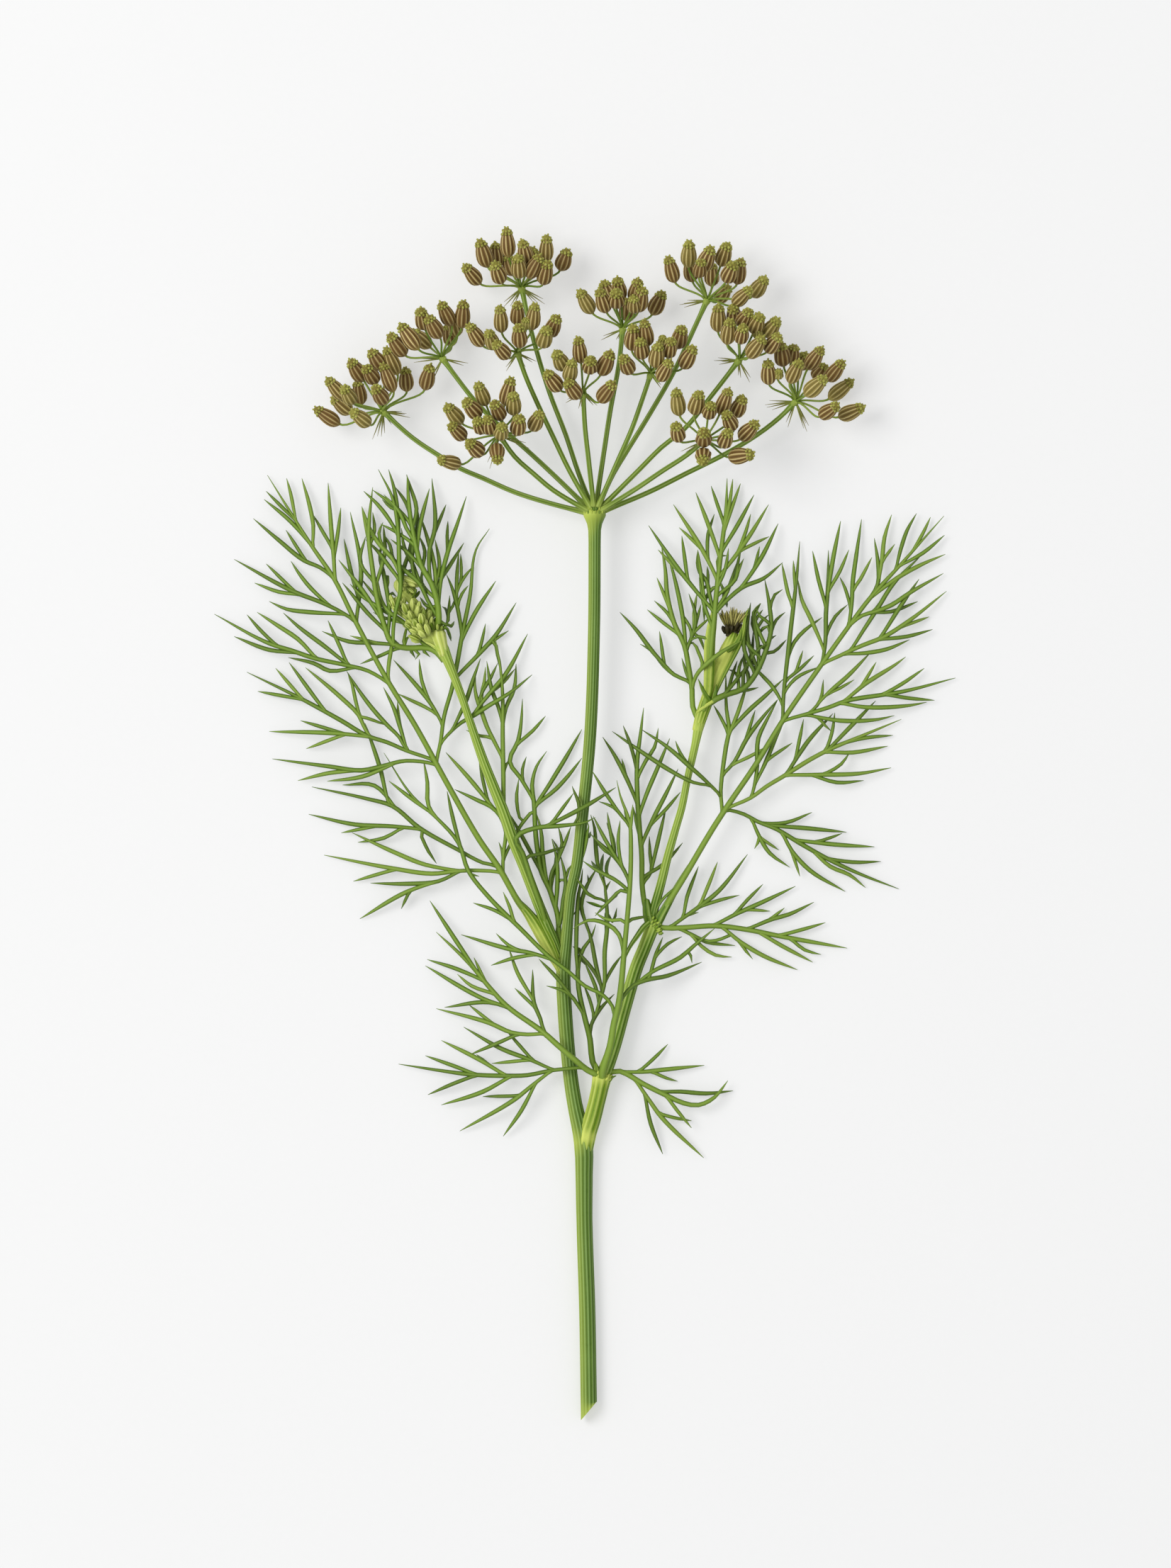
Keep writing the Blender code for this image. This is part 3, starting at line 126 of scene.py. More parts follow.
def placePiece(name, shape, material, slotName, *nodes):
    bmesh.ops.recalc_face_normals(shape, faces=shape.faces)
    mesh = bpy.data.meshes.new(name)
    shape.to_mesh(mesh)
    shape.free()
    mesh.transform(Matrix.Scale(mm, 4))
    mesh.materials.append(material)
    mesh.shade_smooth()
    piece = bpy.data.objects.new(name, mesh)
    bpy.context.scene.collection.objects.link(piece)
    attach(piece, "root")
    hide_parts(*nodes)
    return piece


def smoothPath(points, heading=None, spacing=1.0):
    # an even curve through the points, that leaves the first one along heading
    ways = [(second - first).normalized() for first, second in zip(points, points[1:])]
    turns = [(before + after).normalized()
             for before, after in zip([heading or Vector()] + ways, ways + [Vector()])]
    curve = [points[0]]
    for index, (first, second) in enumerate(zip(points, points[1:])):
        length = (second - first).length
        steps = max(1, round(length / spacing))
        leaving = min(length / 3, quickTurn) if heading and index == 0 else length / 3
        curve += geometry.interpolate_bezier(first, first + turns[index] * leaving,
                                             second - turns[index + 1] * length / 3, second, steps + 1)[1:]
    return curve


def around(side, lift, angle):
    return side * math.cos(angle) + lift * math.sin(angle)


def valueAlong(stops, share):
    # what a list of share and value stops gives at a share
    for (before, low), (after, high) in zip(stops, stops[1:]):
        if share <= after:
            return low + (high - low) * (share - before) / (after - before)
    return stops[-1][1]


def setInputs(tree, node, inputs):
    # a socket is linked, anything else is set
    for key, value in inputs.items():
        if isinstance(value, bpy.types.NodeSocket):
            tree.links.new(value, node.inputs[key])
        else:
            node.inputs[key].default_value = value
    return node


def addNode(tree, kind, inputs, **settings):
    node = tree.nodes.new(kind)
    for key, value in settings.items():
        setattr(node, key, value)
    return setInputs(tree, node, inputs)


def mixColours(tree, amount, first, second):
    return addNode(tree, "ShaderNodeMix", {0: amount, 6: first, 7: second}, data_type="RGBA").outputs[2]


def calculate(tree, operation, first, second):
    return addNode(tree, "ShaderNodeMath", {0: first, 1: second}, operation=operation).outputs[0]


def mapRange(tree, value, low, high, newLow=0.0, newHigh=1.0):
    return addNode(tree, "ShaderNodeMapRange", {"Value": value, "From Min": low, "From Max": high,
                                                "To Min": newLow, "To Max": newHigh}).outputs["Result"]


def noise(tree, size, detail, **more):
    place = addNode(tree, "ShaderNodeTexCoord", {}).outputs["Object"]
    return addNode(tree, "ShaderNodeTexNoise",
                   {"Vector": place, "Scale": size, "Detail": detail} | more).outputs["Fac"]


def readMark(tree, name):
    return addNode(tree, "ShaderNodeAttribute", {}, attribute_name=name).outputs["Fac"]


grey = (0.5, 0.5, 0.5, 1.0)


def newGroup(name, inputs, outputs):
    # each socket's first value, a colour or a number, says which kind of socket it is
    group = bpy.data.node_groups.new(name, "ShaderNodeTree")
    for way, sockets in (("INPUT", inputs), ("OUTPUT", outputs)):
        for key, value in sockets.items():
            kind = "NodeSocketColor" if isinstance(value, tuple) else "NodeSocketFloat"
            group.interface.new_socket(name=key, in_out=way, socket_type=kind).default_value = value
    return group, group.nodes.new("NodeGroupInput").outputs, group.nodes.new("NodeGroupOutput")


def buildMottleGroup():
    # uneven growth: broad light patches with finer dark flecks over them
    group, given, result = newGroup("unevenGrowth", {
        "colour": grey, "light": grey, "dark": grey, "patchSize": 200.0, "fleckSize": 1500.0,
        "unevenness": 0.5}, {"colour": grey})
    patches = mapRange(group, noise(group, given["patchSize"], 2.0), 0.48, 0.72)
    flecks = mapRange(group, noise(group, given["fleckSize"], 3.0), 0.52, 0.75)
    light, dark = (calculate(group, "MULTIPLY", part, given["unevenness"]) for part in (patches, flecks))
    lighter = mixColours(group, light, given["colour"], given["light"])
    setInputs(group, result, {"colour": mixColours(group, dark, lighter, given["dark"])})
    return group


def buildGrowthGroup():
    # young pale growth at the foot of a run and hardened colour at its tip
    group, given, result = newGroup("footToTip", {
        "colour": grey, "foot": grey, "tip": grey, "footEnd": 0.3, "tipStart": 0.8, "footAmount": 1.0,
        "tipAmount": 1.0}, {"colour": grey})
    along = readMark(group, "along")
    foot = calculate(group, "MULTIPLY", mapRange(group, along, 0.0, given["footEnd"], 1.0, 0.0),
                     given["footAmount"])
    tip = calculate(group, "MULTIPLY", mapRange(group, along, given["tipStart"], 1.0), given["tipAmount"])
    atFoot = mixColours(group, foot, given["colour"], given["foot"])
    setInputs(group, result, {"colour": mixColours(group, tip, atFoot, given["tip"])})
    return group


def buildRibGroup():
    # paler ribs and darker furrows by the ridge mark: partly the ribs' own colour, partly a painted
    # highlight on the ribs and painted shade in the furrows; on the threads, painted light on top and
    # painted shade at the sides
    group, given, result = newGroup("ribsFurrowsAndPaintedLight", {
        "colour": grey, "ribAndHighlight": grey, "furrowAndShade": grey, "furrowTop": 0.45, "ribFoot": 0.6, "ribAmount": 1.0},
        {"colour": grey})
    ridgeAndTopLight = readMark(group, "ridgeAndTopLight")
    ribAndHighlight = calculate(group, "MULTIPLY", mapRange(group, ridgeAndTopLight, given["ribFoot"], 1.0), given["ribAmount"])
    furrowAndShade = calculate(group, "MULTIPLY", mapRange(group, ridgeAndTopLight, given["furrowTop"], 0.0),
                       given["ribAmount"])
    ribbed = mixColours(group, ribAndHighlight, given["colour"], given["ribAndHighlight"])
    setInputs(group, result, {"colour": mixColours(group, furrowAndShade, ribbed, given["furrowAndShade"])})
    return group


def buildToneGroup():
    # pale where the tone mark is above nothing, the dried colour where it is below: pale joints and dried
    # brown, and also painted light and shade across the stems and painted shade on crowded leaves
    group, given, result = newGroup("paleDriedAndShade", {"colour": grey, "pale": grey, "driedAndShade": grey},
                                    {"colour": grey})
    tone = readMark(group, "tone")
    pale = mixColours(group, mapRange(group, tone, 0.0, 1.0), given["colour"], given["pale"])
    driedAndShade = mixColours(group, mapRange(group, tone, 0.0, -1.0), pale, given["driedAndShade"])
    setInputs(group, result, {"colour": driedAndShade})
    return group


def buildCellGroup():
    # the fine cells of a plant's skin, as a height and as a change of gloss
    group, given, result = newGroup("skinCells", {"cellSize": 4000.0, "gloss": 0.45, "glossChange": 0.1},
                                    {"height": 0.0, "roughness": 0.5})
    cells = noise(group, given["cellSize"], 3.0, Roughness=0.6)
    change = calculate(group, "MULTIPLY", cells, given["glossChange"])
    roughness = calculate(group, "ADD", given["gloss"], change)
    setInputs(group, result, {"height": cells, "roughness": roughness})
    return group


colourGroups = [buildMottleGroup(), buildGrowthGroup(), buildRibGroup(), buildToneGroup()]
cellGroup = buildCellGroup()


def useGroup(tree, group, look, **linked):
    # a group's sockets have the same names as the settings of a look
    node = addNode(tree, "ShaderNodeGroup", {}, node_tree=group)
    given = {key: look[key] for key in node.inputs.keys() if key in look}
    return setInputs(tree, node, given | linked).outputs


def plantSkin(name, look):
    # the shared build of every plant finish, each one with its own colours and sizes
    look = {key: (*value, 1.0) if isinstance(value, tuple) else value for key, value in look.items()}
    material = bpy.data.materials.new(name)
    material.use_nodes = True
    tree = material.node_tree
    colour = look["colour"]
    for group in colourGroups:
        colour = useGroup(tree, group, look, colour=colour)["colour"]
    cells = useGroup(tree, cellGroup, look)
    bump = addNode(tree, "ShaderNodeBump", {
        "Height": cells["height"], "Strength": look["bump"], "Distance": look["bumpHeight"]})
    setInputs(tree, tree.nodes["Principled BSDF"], {
        "Base Color": colour, "Roughness": cells["roughness"], "Normal": bump.outputs["Normal"],
        "Specular IOR Level": look["shine"]})
    return material


plainLook = {
    "colour": (0.14, 0.23, 0.022), "light": (0.21, 0.32, 0.045), "dark": (0.075, 0.145, 0.008),
    "patchSize": 160.0, "fleckSize": 1500.0, "unevenness": 0.6, "foot": (0.24, 0.35, 0.045),
    "tip": (0.08, 0.14, 0.02), "footEnd": 0.3, "tipStart": 0.8, "footAmount": 0.6, "tipAmount": 0.5,
    "ribAndHighlight": (0.33, 0.45, 0.12), "furrowAndShade": (0.05, 0.11, 0.008), "ribAmount": 0.0,
    "pale": (0.48, 0.54, 0.13), "driedAndShade": (0.18, 0.13, 0.04), "cellSize": 5000.0, "gloss": 0.45,
    "bump": 0.3, "shine": 0.22, "bumpHeight": 0.0001, "glossChange": 0.15}
# for stems and sheaths, which keep one colour from end to end
evenLook = plainLook | {"footAmount": 0.0, "tipAmount": 0.0}
skins = {
    # on the stems, branches and sheaths the dried colour is dark green: painted shade on the side away from
    # the key light, while the pale colour paints the lit side
    "stem": plantSkin("ridged stem skin", evenLook | {
        "colour": (0.11, 0.2, 0.022), "light": (0.16, 0.27, 0.045), "dark": (0.075, 0.15, 0.01),
        "ribAndHighlight": (0.285, 0.43, 0.135), "furrowAndShade": (0.04, 0.1, 0.006), "ribAmount": 0.85,
        "pale": (0.47, 0.56, 0.09), "driedAndShade": (0.045, 0.1, 0.006)}),
    "branch": plantSkin("side branch skin", evenLook | {
        "colour": (0.15, 0.27, 0.012), "light": (0.22, 0.34, 0.03), "dark": (0.085, 0.19, 0.004),
        "ribAndHighlight": (0.42, 0.55, 0.16), "furrowAndShade": (0.035, 0.11, 0.002), "ribAmount": 0.95,
        "pale": (0.46, 0.58, 0.1), "driedAndShade": (0.05, 0.115, 0.004)}),
    "sheath": plantSkin("sheath skin", evenLook | {
        "colour": (0.2, 0.31, 0.012), "light": (0.32, 0.42, 0.035), "dark": (0.1, 0.21, 0.004),
        "ribAndHighlight": (0.48, 0.57, 0.13), "furrowAndShade": (0.07, 0.17, 0.003), "ribAmount": 0.9,
        "pale": (0.62, 0.69, 0.14), "driedAndShade": (0.06, 0.14, 0.004)}),
    # on the threads the rib colour is painted light along the top, the furrow colour painted shade at the
    # sides, and the dried colour painted shade on crowded leaves
    "leaf": plantSkin("thread leaf skin", plainLook | {
        "colour": (0.092, 0.18, 0.009), "light": (0.15, 0.26, 0.02), "dark": (0.045, 0.1, 0.003),
        "foot": (0.2, 0.32, 0.025), "tip": (0.05, 0.095, 0.008), "tipStart": 0.6,
        "ribAndHighlight": (0.235, 0.36, 0.055), "furrowAndShade": (0.025, 0.07, 0.002), "ribAmount": 0.8,
        "pale": (0.31, 0.42, 0.07), "driedAndShade": (0.055, 0.09, 0.01)}),
    "ray": plantSkin("ray skin", plainLook | {
        "colour": (0.145, 0.23, 0.022), "light": (0.21, 0.31, 0.045), "dark": (0.13, 0.165, 0.018),
        "foot": (0.27, 0.37, 0.05), "tip": (0.26, 0.36, 0.05), "footEnd": 0.12, "tipStart": 0.9,
        "ribAndHighlight": (0.34, 0.45, 0.12), "furrowAndShade": (0.05, 0.105, 0.006), "ribAmount": 0.8,
        "pale": (0.42, 0.51, 0.1), "driedAndShade": (0.27, 0.22, 0.07)}),
    "budGreen": plantSkin("green bud skin", plainLook | {
        "colour": (0.46, 0.56, 0.07), "light": (0.7, 0.77, 0.25), "dark": (0.17, 0.27, 0.01),
        "foot": (0.05, 0.1, 0.003), "tip": (0.62, 0.68, 0.18), "footEnd": 0.4, "tipStart": 0.5,
        "footAmount": 0.9, "ribAndHighlight": (0.8, 0.85, 0.38), "furrowAndShade": (0.08, 0.15, 0.004), "ribAmount": 0.8,
        "pale": (0.64, 0.7, 0.2), "driedAndShade": (0.1, 0.17, 0.006)}),
    "budBrown": plantSkin("brown bud skin", plainLook | {
        "colour": (0.36, 0.33, 0.07), "light": (0.55, 0.5, 0.17), "dark": (0.14, 0.11, 0.02),
        "foot": (0.05, 0.035, 0.006), "tip": (0.48, 0.38, 0.13), "footEnd": 0.35, "footAmount": 1.0,
        "ribAndHighlight": (0.56, 0.5, 0.17), "furrowAndShade": (0.08, 0.06, 0.01), "ribAmount": 0.6,
        "pale": (0.6, 0.58, 0.22), "driedAndShade": (0.035, 0.028, 0.006)}),
    "seed": plantSkin("ribbed seed skin", plainLook | {
        "colour": (0.29, 0.195, 0.055), "light": (0.39, 0.285, 0.09), "dark": (0.19, 0.115, 0.03),
        "patchSize": 500.0, "foot": (0.36, 0.32, 0.08), "tip": (0.205, 0.2, 0.025), "footEnd": 0.1,
        "tipStart": 0.78, "tipAmount": 0.8, "ribAndHighlight": (0.86, 0.73, 0.38), "furrowAndShade": (0.1, 0.048, 0.011),
        "ribAmount": 0.95, "pale": (0.42, 0.425, 0.095), "driedAndShade": (0.14, 0.075, 0.018), "gloss": 0.55,
        "bump": 0.5}),
}
print("materials made:", len(skins))
def readPoints(text):
    # words of numbers with commas between them
    return [[float(number) for number in word.split(",")] for word in text.split()]


def ridgeSection(count, depth, phase=0.0, fadeOut=1.0):
    # count rounded ridges with narrow furrows between them, dying away after fadeOut
    def section(angle, share):
        sharp = (0.5 + 0.5 * math.cos(count * angle + phase)) ** 0.7
        fade = 1.0 if share < fadeOut else max(0.0, 1 - (share - fadeOut) / (1.001 - fadeOut))
        return 1.0 - depth * (1 - sharp) * fade, 0.5 + (sharp - 0.5) * fade
    return section


def stemPath(points, spacing):
    # points are x, y, z, radius
    knots = [Vector(point[:3]) for point in points]
    curve = smoothPath(knots, spacing=spacing)
    stops = list(zip(pathShares(knots)[0], [point[3] for point in points]))
    return [(point, valueAlong(stops, share)) for point, share in zip(curve, pathShares(curve)[0])]


ringSpacing = {"stem": 1.2, "sheath": 0.5, "small": 0.4}
# For stems and sheaths: a path of x,y,z,radius from foot to top; side is painted light and shade, how far
# the tone changes from the middle to each side, paler on the left towards the key light and darker on the
# right; pale has stops of share,tone; nubs are place, radius, count and tone.
stems = {
    "main_stem": {
        "skin": "stem", "ridges": 13, "depth": 0.11, "side": -0.42,
        "fadeOut": 0.97, "startCap": 0.0,
        "cut": {"back": 0.2, "lean": 1.15, "rim": 0.28, "sunk": 0.12, "pith": 0.3},
        "nubWay": (0.0, 1.0, 0.0), "nubs": [((1.5, 48.7, 5.1), 1.7, 17, 0.15),
                                            ((1.5, 49.2, 5.2), 1.35, 13, 0.15),
                                            ((1.5, 49.3, 6.1), 0.5, 7, -0.75)],
        "path": """
0.6,-91.9,1.4,1.3 0.35,-76.5,1.4,1.3 -0.1,-62,1.4,1.28 -0.15,-55,1.5,1.38 -0.2,-51,1.6,1.5
-0.6,-48.6,1.6,1.36 -1.6,-44,1.6,1.2 -2.3,-39.4,1.7,1.16 -3.3,-27,2.2,1.16 -3.4,-22.8,2.4,1.15
-3,-19,2.6,0.95 -2.65,-15,2.9,0.85 -2.25,-11,3.2,0.84 -1.3,-6.5,3.6,0.9 -0.4,1.4,4.2,0.94
0.8,13.8,4.6,0.96 1.4,30,4.8,0.96 1.5,44,5,0.98 1.5,46,5,1.02 1.5,47,5,1.2 1.5,47.7,5,1.5 1.5,48.3,5,1.78
1.5,48.9,5,1.75 1.5,49.4,5,1.3""",
        "pale": "0,0.25 0.012,0 0.28,0 0.297,0.4 0.315,0 0.965,0 0.985,0.4 1,0.95"},
    "right_branch": {
        "skin": "branch", "ridges": 10, "depth": 0.15, "side": -0.55,
        "nubWay": (0.72, 0.69, 0.0), "nubs": [((10.9, -15.9, 2.3), 1.4, 15, 0.15),
                                              ((10.9, -15.1, 2.4), 1.25, 13, 0.15),
                                              ((11.2, -16.5, 2.2), 1.15, 11, 0.15)],
        "stubs": [
            ("10.4,-16,2.5,0.9 9.9,-14.4,2.8,0.9 9.7,-13,3,0.75 9.6,-11.9,3,0.5", -0.8),
            ("""
11.2,-16,2.5,0.7 11.8,-14.6,2.7,0.8 12.7,-13,2.8,0.68 13.8,-11,2.8,0.58 15,-8.9,2.8,0.5
16.4,-6.6,2.8,0.4""", -0.6),
            ("""
10.1,-15.4,3,0.5 9.2,-16.2,3.5,0.48 8.1,-17.7,4.2,0.42 7.2,-19,4.8,0.34 6.6,-20.2,5.1,0.26
6.3,-21.2,5.1,0.1""", -0.4),
            ("""
10.8,-14.6,2.9,0.3 11.2,-13.3,3,0.3 12,-12,3.1,0.26 13.1,-10.9,3.1,0.24 14.5,-9.6,3,0.1""", -0.7)],
        "path": """
2.8,-39.6,2.3,1.2 4.2,-36,2.1,1.08 6.3,-28.6,1.9,1.05 8.2,-22.2,1.9,1.05 9.1,-20,2,1.04
10.2,-17.2,2.2,1.06 10.7,-15.9,2.3,1.2 10.9,-15,2.3,1""",
        "pale": "0,0.9 0.06,0.1 0.2,0 0.85,0 0.95,0.6 1,0.8"},
    "upper_branch": {
        "skin": "branch", "ridges": 9, "depth": 0.13, "side": -0.2,
        "path": """
10.5,-14.8,2.6,0.8 10.9,-13,2.7,0.75 11.75,-10,2.7,0.72 13,-5,2.9,0.68 14.25,-0.6,3.1,0.62
15.15,2.5,3.2,0.6 16.05,7,3.2,0.58 17.3,12.6,3.3,0.64 17.9,15.8,3.3,0.85""",
        "pale": "0,-0.6 0.1,-0.3 0.2,0.25 0.5,0.3 0.85,0.45 1,0.7"},
    "left_branch": {
        "skin": "branch", "ridges": 10, "depth": 0.13, "side": -0.3,
        "path": """
-3.9,-20.6,2.7,0.5 -4.7,-18.6,2.8,0.75 -5.7,-16.4,2.9,0.85 -6.8,-13.8,2.9,0.85 -8.3,-10,2.9,0.84
-9.6,-6.6,3.1,0.86 -11.2,-2.6,3.4,0.9 -12.8,2,3.4,0.88 -14.4,6,3.35,0.83 -15.8,9.6,3.3,0.76
-17.1,13.3,3.25,0.68 -18.5,17.5,3.2,0.6 -19.3,19.9,3.2,0.61 -20.5,23.1,3.2,0.66 -21.5,25.6,3.2,0.8
-22.2,27.2,3.2,1 -22.8,28.3,3.2,1.1""",
        "pale": "0,-0.4 0.12,-0.3 0.2,0.2 0.7,0.2 0.9,0.4 1,0.5"},
}


def growStalk(plan, spacing):
    shape, marks = newShape()
    pale = readPoints(plan["pale"])
    # the side term paints light on the left of the stem and shade on its right
    rings = sweepRun(shape, marks, stemPath(readPoints(plan["path"]), spacing), plan["ridges"] * 4,
                     ridgeSection(plan["ridges"], plan["depth"], fadeOut=plan.get("fadeOut", 1.0)),
                     lambda share, angle: valueAlong(pale, share) + plan["side"] * math.cos(angle),
                     flat=plan.get("flat", 1.0), startCap=plan.get("startCap", 0.5))
    return shape, marks, rings


def cutAtAngle(shape, marks, ring, cut):
    # the knife went through at a slant: the end leans over and its pith has sunk a little
    ringVerts, point, heading, radius = ring
    pole = next(vert for vert in shape.verts if len(vert.link_edges) == len(ringVerts)
                and (vert.co - point).length < radius * 0.5)
    for vert in ringVerts:
        vert.co -= heading * (cut["back"] - (vert.co.x - point.x) * cut["lean"])
        vert[marks["tone"]] = 0.7
    wedges = list(pole.link_faces)
    bmesh.ops.inset_region(shape, faces=wedges, thickness=cut["rim"], depth=-cut["sunk"])
    for vert in {vert for face in wedges for vert in face.verts}:
        vert[marks["tone"]] = 1.0
    pole.co += heading * cut["pith"]


def addNubs(shape, marks, plan):
    # the pale knobs round a joint, where the leaf stalks let go of it
    for place, radius, count, tone in plan.get("nubs", ()):
        heading = Vector(plan["nubWay"])
        side = heading.cross(upward).normalized()
        for step in range(count):
            out = around(side, upward, 2 * math.pi * step / count)
            foot = Vector(place) + out * radius * 0.75 - heading * 0.25
            tip = Vector(place) + out * radius * 1.02 + heading * 0.35
            sweepRun(shape, marks, [(foot, 0.16), ((foot + tip) / 2 + out * 0.06, 0.21), (tip, 0.11)],
                     6, tone=tone + 0.35 * (step % 3))


def buildStems():
    for name, plan in stems.items():
        shape, marks, rings = growStalk(plan, ringSpacing["stem"])
        if "cut" in plan:
            cutAtAngle(shape, marks, rings[0], plan["cut"])
        addNubs(shape, marks, plan)
        for way, tone in plan.get("stubs", ()):    # the stubby leaf bases of the knobbly joint
            # each stub is painted paler along its top: a painted highlight
            sweepRun(shape, marks, stemPath(readPoints(way), ringSpacing["small"]), 20,
                     ridgeSection(5, 0.12),
                     lambda share, angle, base=tone: base + 0.5 * max(0.0, math.sin(angle)) ** 3)
        placePiece(f"{name}_ridged", shape, skins[plan["skin"]], "stem_green", name)
    print("stems built:", len(stems))


sheaths = {
    "lower_sheath": {
        "ridges": 9, "depth": 0.12, "flat": 1.0, "side": -0.45,
        "nubWay": (0.28, 0.95, 0.0), "nubs": [((2.72, -39.3, 2.4), 1.5, 15, 0.15),
                                              ((2.6, -39.8, 2.4), 1.6, 13, 0.15)],
        "path": """
-0.1,-52.4,1.4,1.1 0,-51,1.6,1.3 0.3,-49.2,1.9,1.38 0.55,-48,2,1.42 1,-46.6,2.1,1.42 1.75,-43.8,2.3,1.36
2.3,-41.4,2.4,1.4 2.6,-39.9,2.4,1.55 2.72,-39.3,2.4,1.45""",
        "pale": "0,0 0.15,0.2 0.26,0.9 0.36,0.2 0.5,0 0.85,0 0.94,0.6 1,0.9",
        "blades": [
            ("1.9,-40.2,2.9,0.5 1.9,-38.7,2.9,0.55 1.7,-37.6,2.7,0.2", -0.35),
            ("3.6,-40.4,2.6,0.35 4.3,-39.7,2.7,0.22 4.9,-39.5,2.6,0.06", -0.6)]},
    "left_sheath": {
        "ridges": 9, "depth": 0.13, "flat": 0.9, "side": -0.5,
        "path": """
-3.7,-23.8,2.9,0.35 -4.5,-21.8,3,0.7 -5.4,-20.1,3,0.95 -6.75,-17.6,2.9,1.05 -8,-15.4,2.7,1
-9.2,-13.7,2.5,0.75 -10.4,-12.3,2.3,0.55 -11.2,-11,2.2,0.5""",
        "pale": "0,0.1 0.25,0.45 0.5,0.4 0.7,-0.1 0.85,-0.3 1,0.2",
        "blades": [
            ("-7.4,-14.2,3.2,0.25 -6.4,-16.2,3.4,0.4 -5.2,-18.6,3.5,0.45 -4.2,-21,3.3,0.3", -0.3)]},
    "upper_sheath": {
        "ridges": 11, "depth": 0.08, "flat": 0.85, "side": -0.25,
        "path": """
17.6,14.6,3.3,0.85 18.2,16.8,3.2,1 18.9,18.8,3,1.05 19.8,21.2,2.8,1.1 20.6,23.2,2.8,1.25
21.6,25.4,2.8,1.35 22.5,27.4,2.9,1.3 23.2,29,3,1.1 23.5,29.9,3,0.7""",
        "pale": "0,0.7 0.12,0.2 0.2,0 0.32,0.3 0.45,0.75 0.8,0.85 0.9,0.4 1,-0.4",
        "blades": [
            ("""
18.8,18.8,3.7,0.55 19.25,20.8,4.1,0.82 19.45,24,4.5,0.92 19.5,28,4.6,0.92 19.85,31,4.6,0.78
20.3,33.4,4.4,0.5""", 0.1),
            ("""
20.3,20.2,3.2,0.3 21.5,22.8,3.3,0.34 22.9,25.6,3.5,0.4 24.1,28,3.7,0.42 24.8,30.2,3.9,0.38
25.1,32.2,3.8,0.25 25.6,33.8,3.6,0.06""", -0.2),
            ("22.3,27,4,0.2 23.2,27.7,4.2,0.45 24.1,29,4.2,0.45 24.6,30.8,4,0.1", -0.5),
            ("19.8,18.9,3.8,0.35 19.1,20,4.3,0.5 18.4,21.2,4.5,0.32 17.75,22.7,4.3,0.05", -0.75),
            ("20,19,3.8,0.4 20.4,20.4,4.1,0.38 20.6,21.9,4.1,0.05", -0.75),
            ("""
17.5,17.4,3.6,0.15 18.4,18.1,4.1,0.28 19.4,18.8,4.3,0.3 20.6,19.5,4.2,0.28 21.8,20,4,0.2""", 0.5)]},
}


def buildSheaths():
    for name, plan in sheaths.items():
        shape, marks = growStalk(plan, ringSpacing["sheath"])[:2]
        for way, tone in plan["blades"]:
            # each blade is painted darker on its right side: painted shade
            sweepRun(shape, marks, stemPath(readPoints(way), ringSpacing["sheath"]), 20,
                     ridgeSection(5, 0.10), lambda share, angle, base=tone: base - 0.35 * math.cos(angle),
                     flat=0.8)
        addNubs(shape, marks, plan)
        placePiece(f"{name}_wrap", shape, skins["sheath"], "sheath_green", name)
    print("sheaths built:", len(sheaths))


# one unopened flower: narrow foot, full middle and a blunt lobed tip, as share and girth
floretGirths = [(0.0, 0.35), (0.25, 0.75), (0.5, 1.0), (0.75, 0.95), (0.92, 0.6), (1.0, 0.2)]


def addFloret(shape, marks, foot, tip, radius, tone):
    def lobed(angle, share):
        wave = 0.5 + 0.5 * math.cos(5 * angle)
        return 1.0 - 0.3 * (1 - wave), wave ** 1.5
    path = [(foot.lerp(tip, share), radius * girth) for share, girth in floretGirths]
    sweepRun(shape, marks, path, 15, lobed, tone)


goldenTurn = 2.39996    # from one floret of a clump to the next, in radians
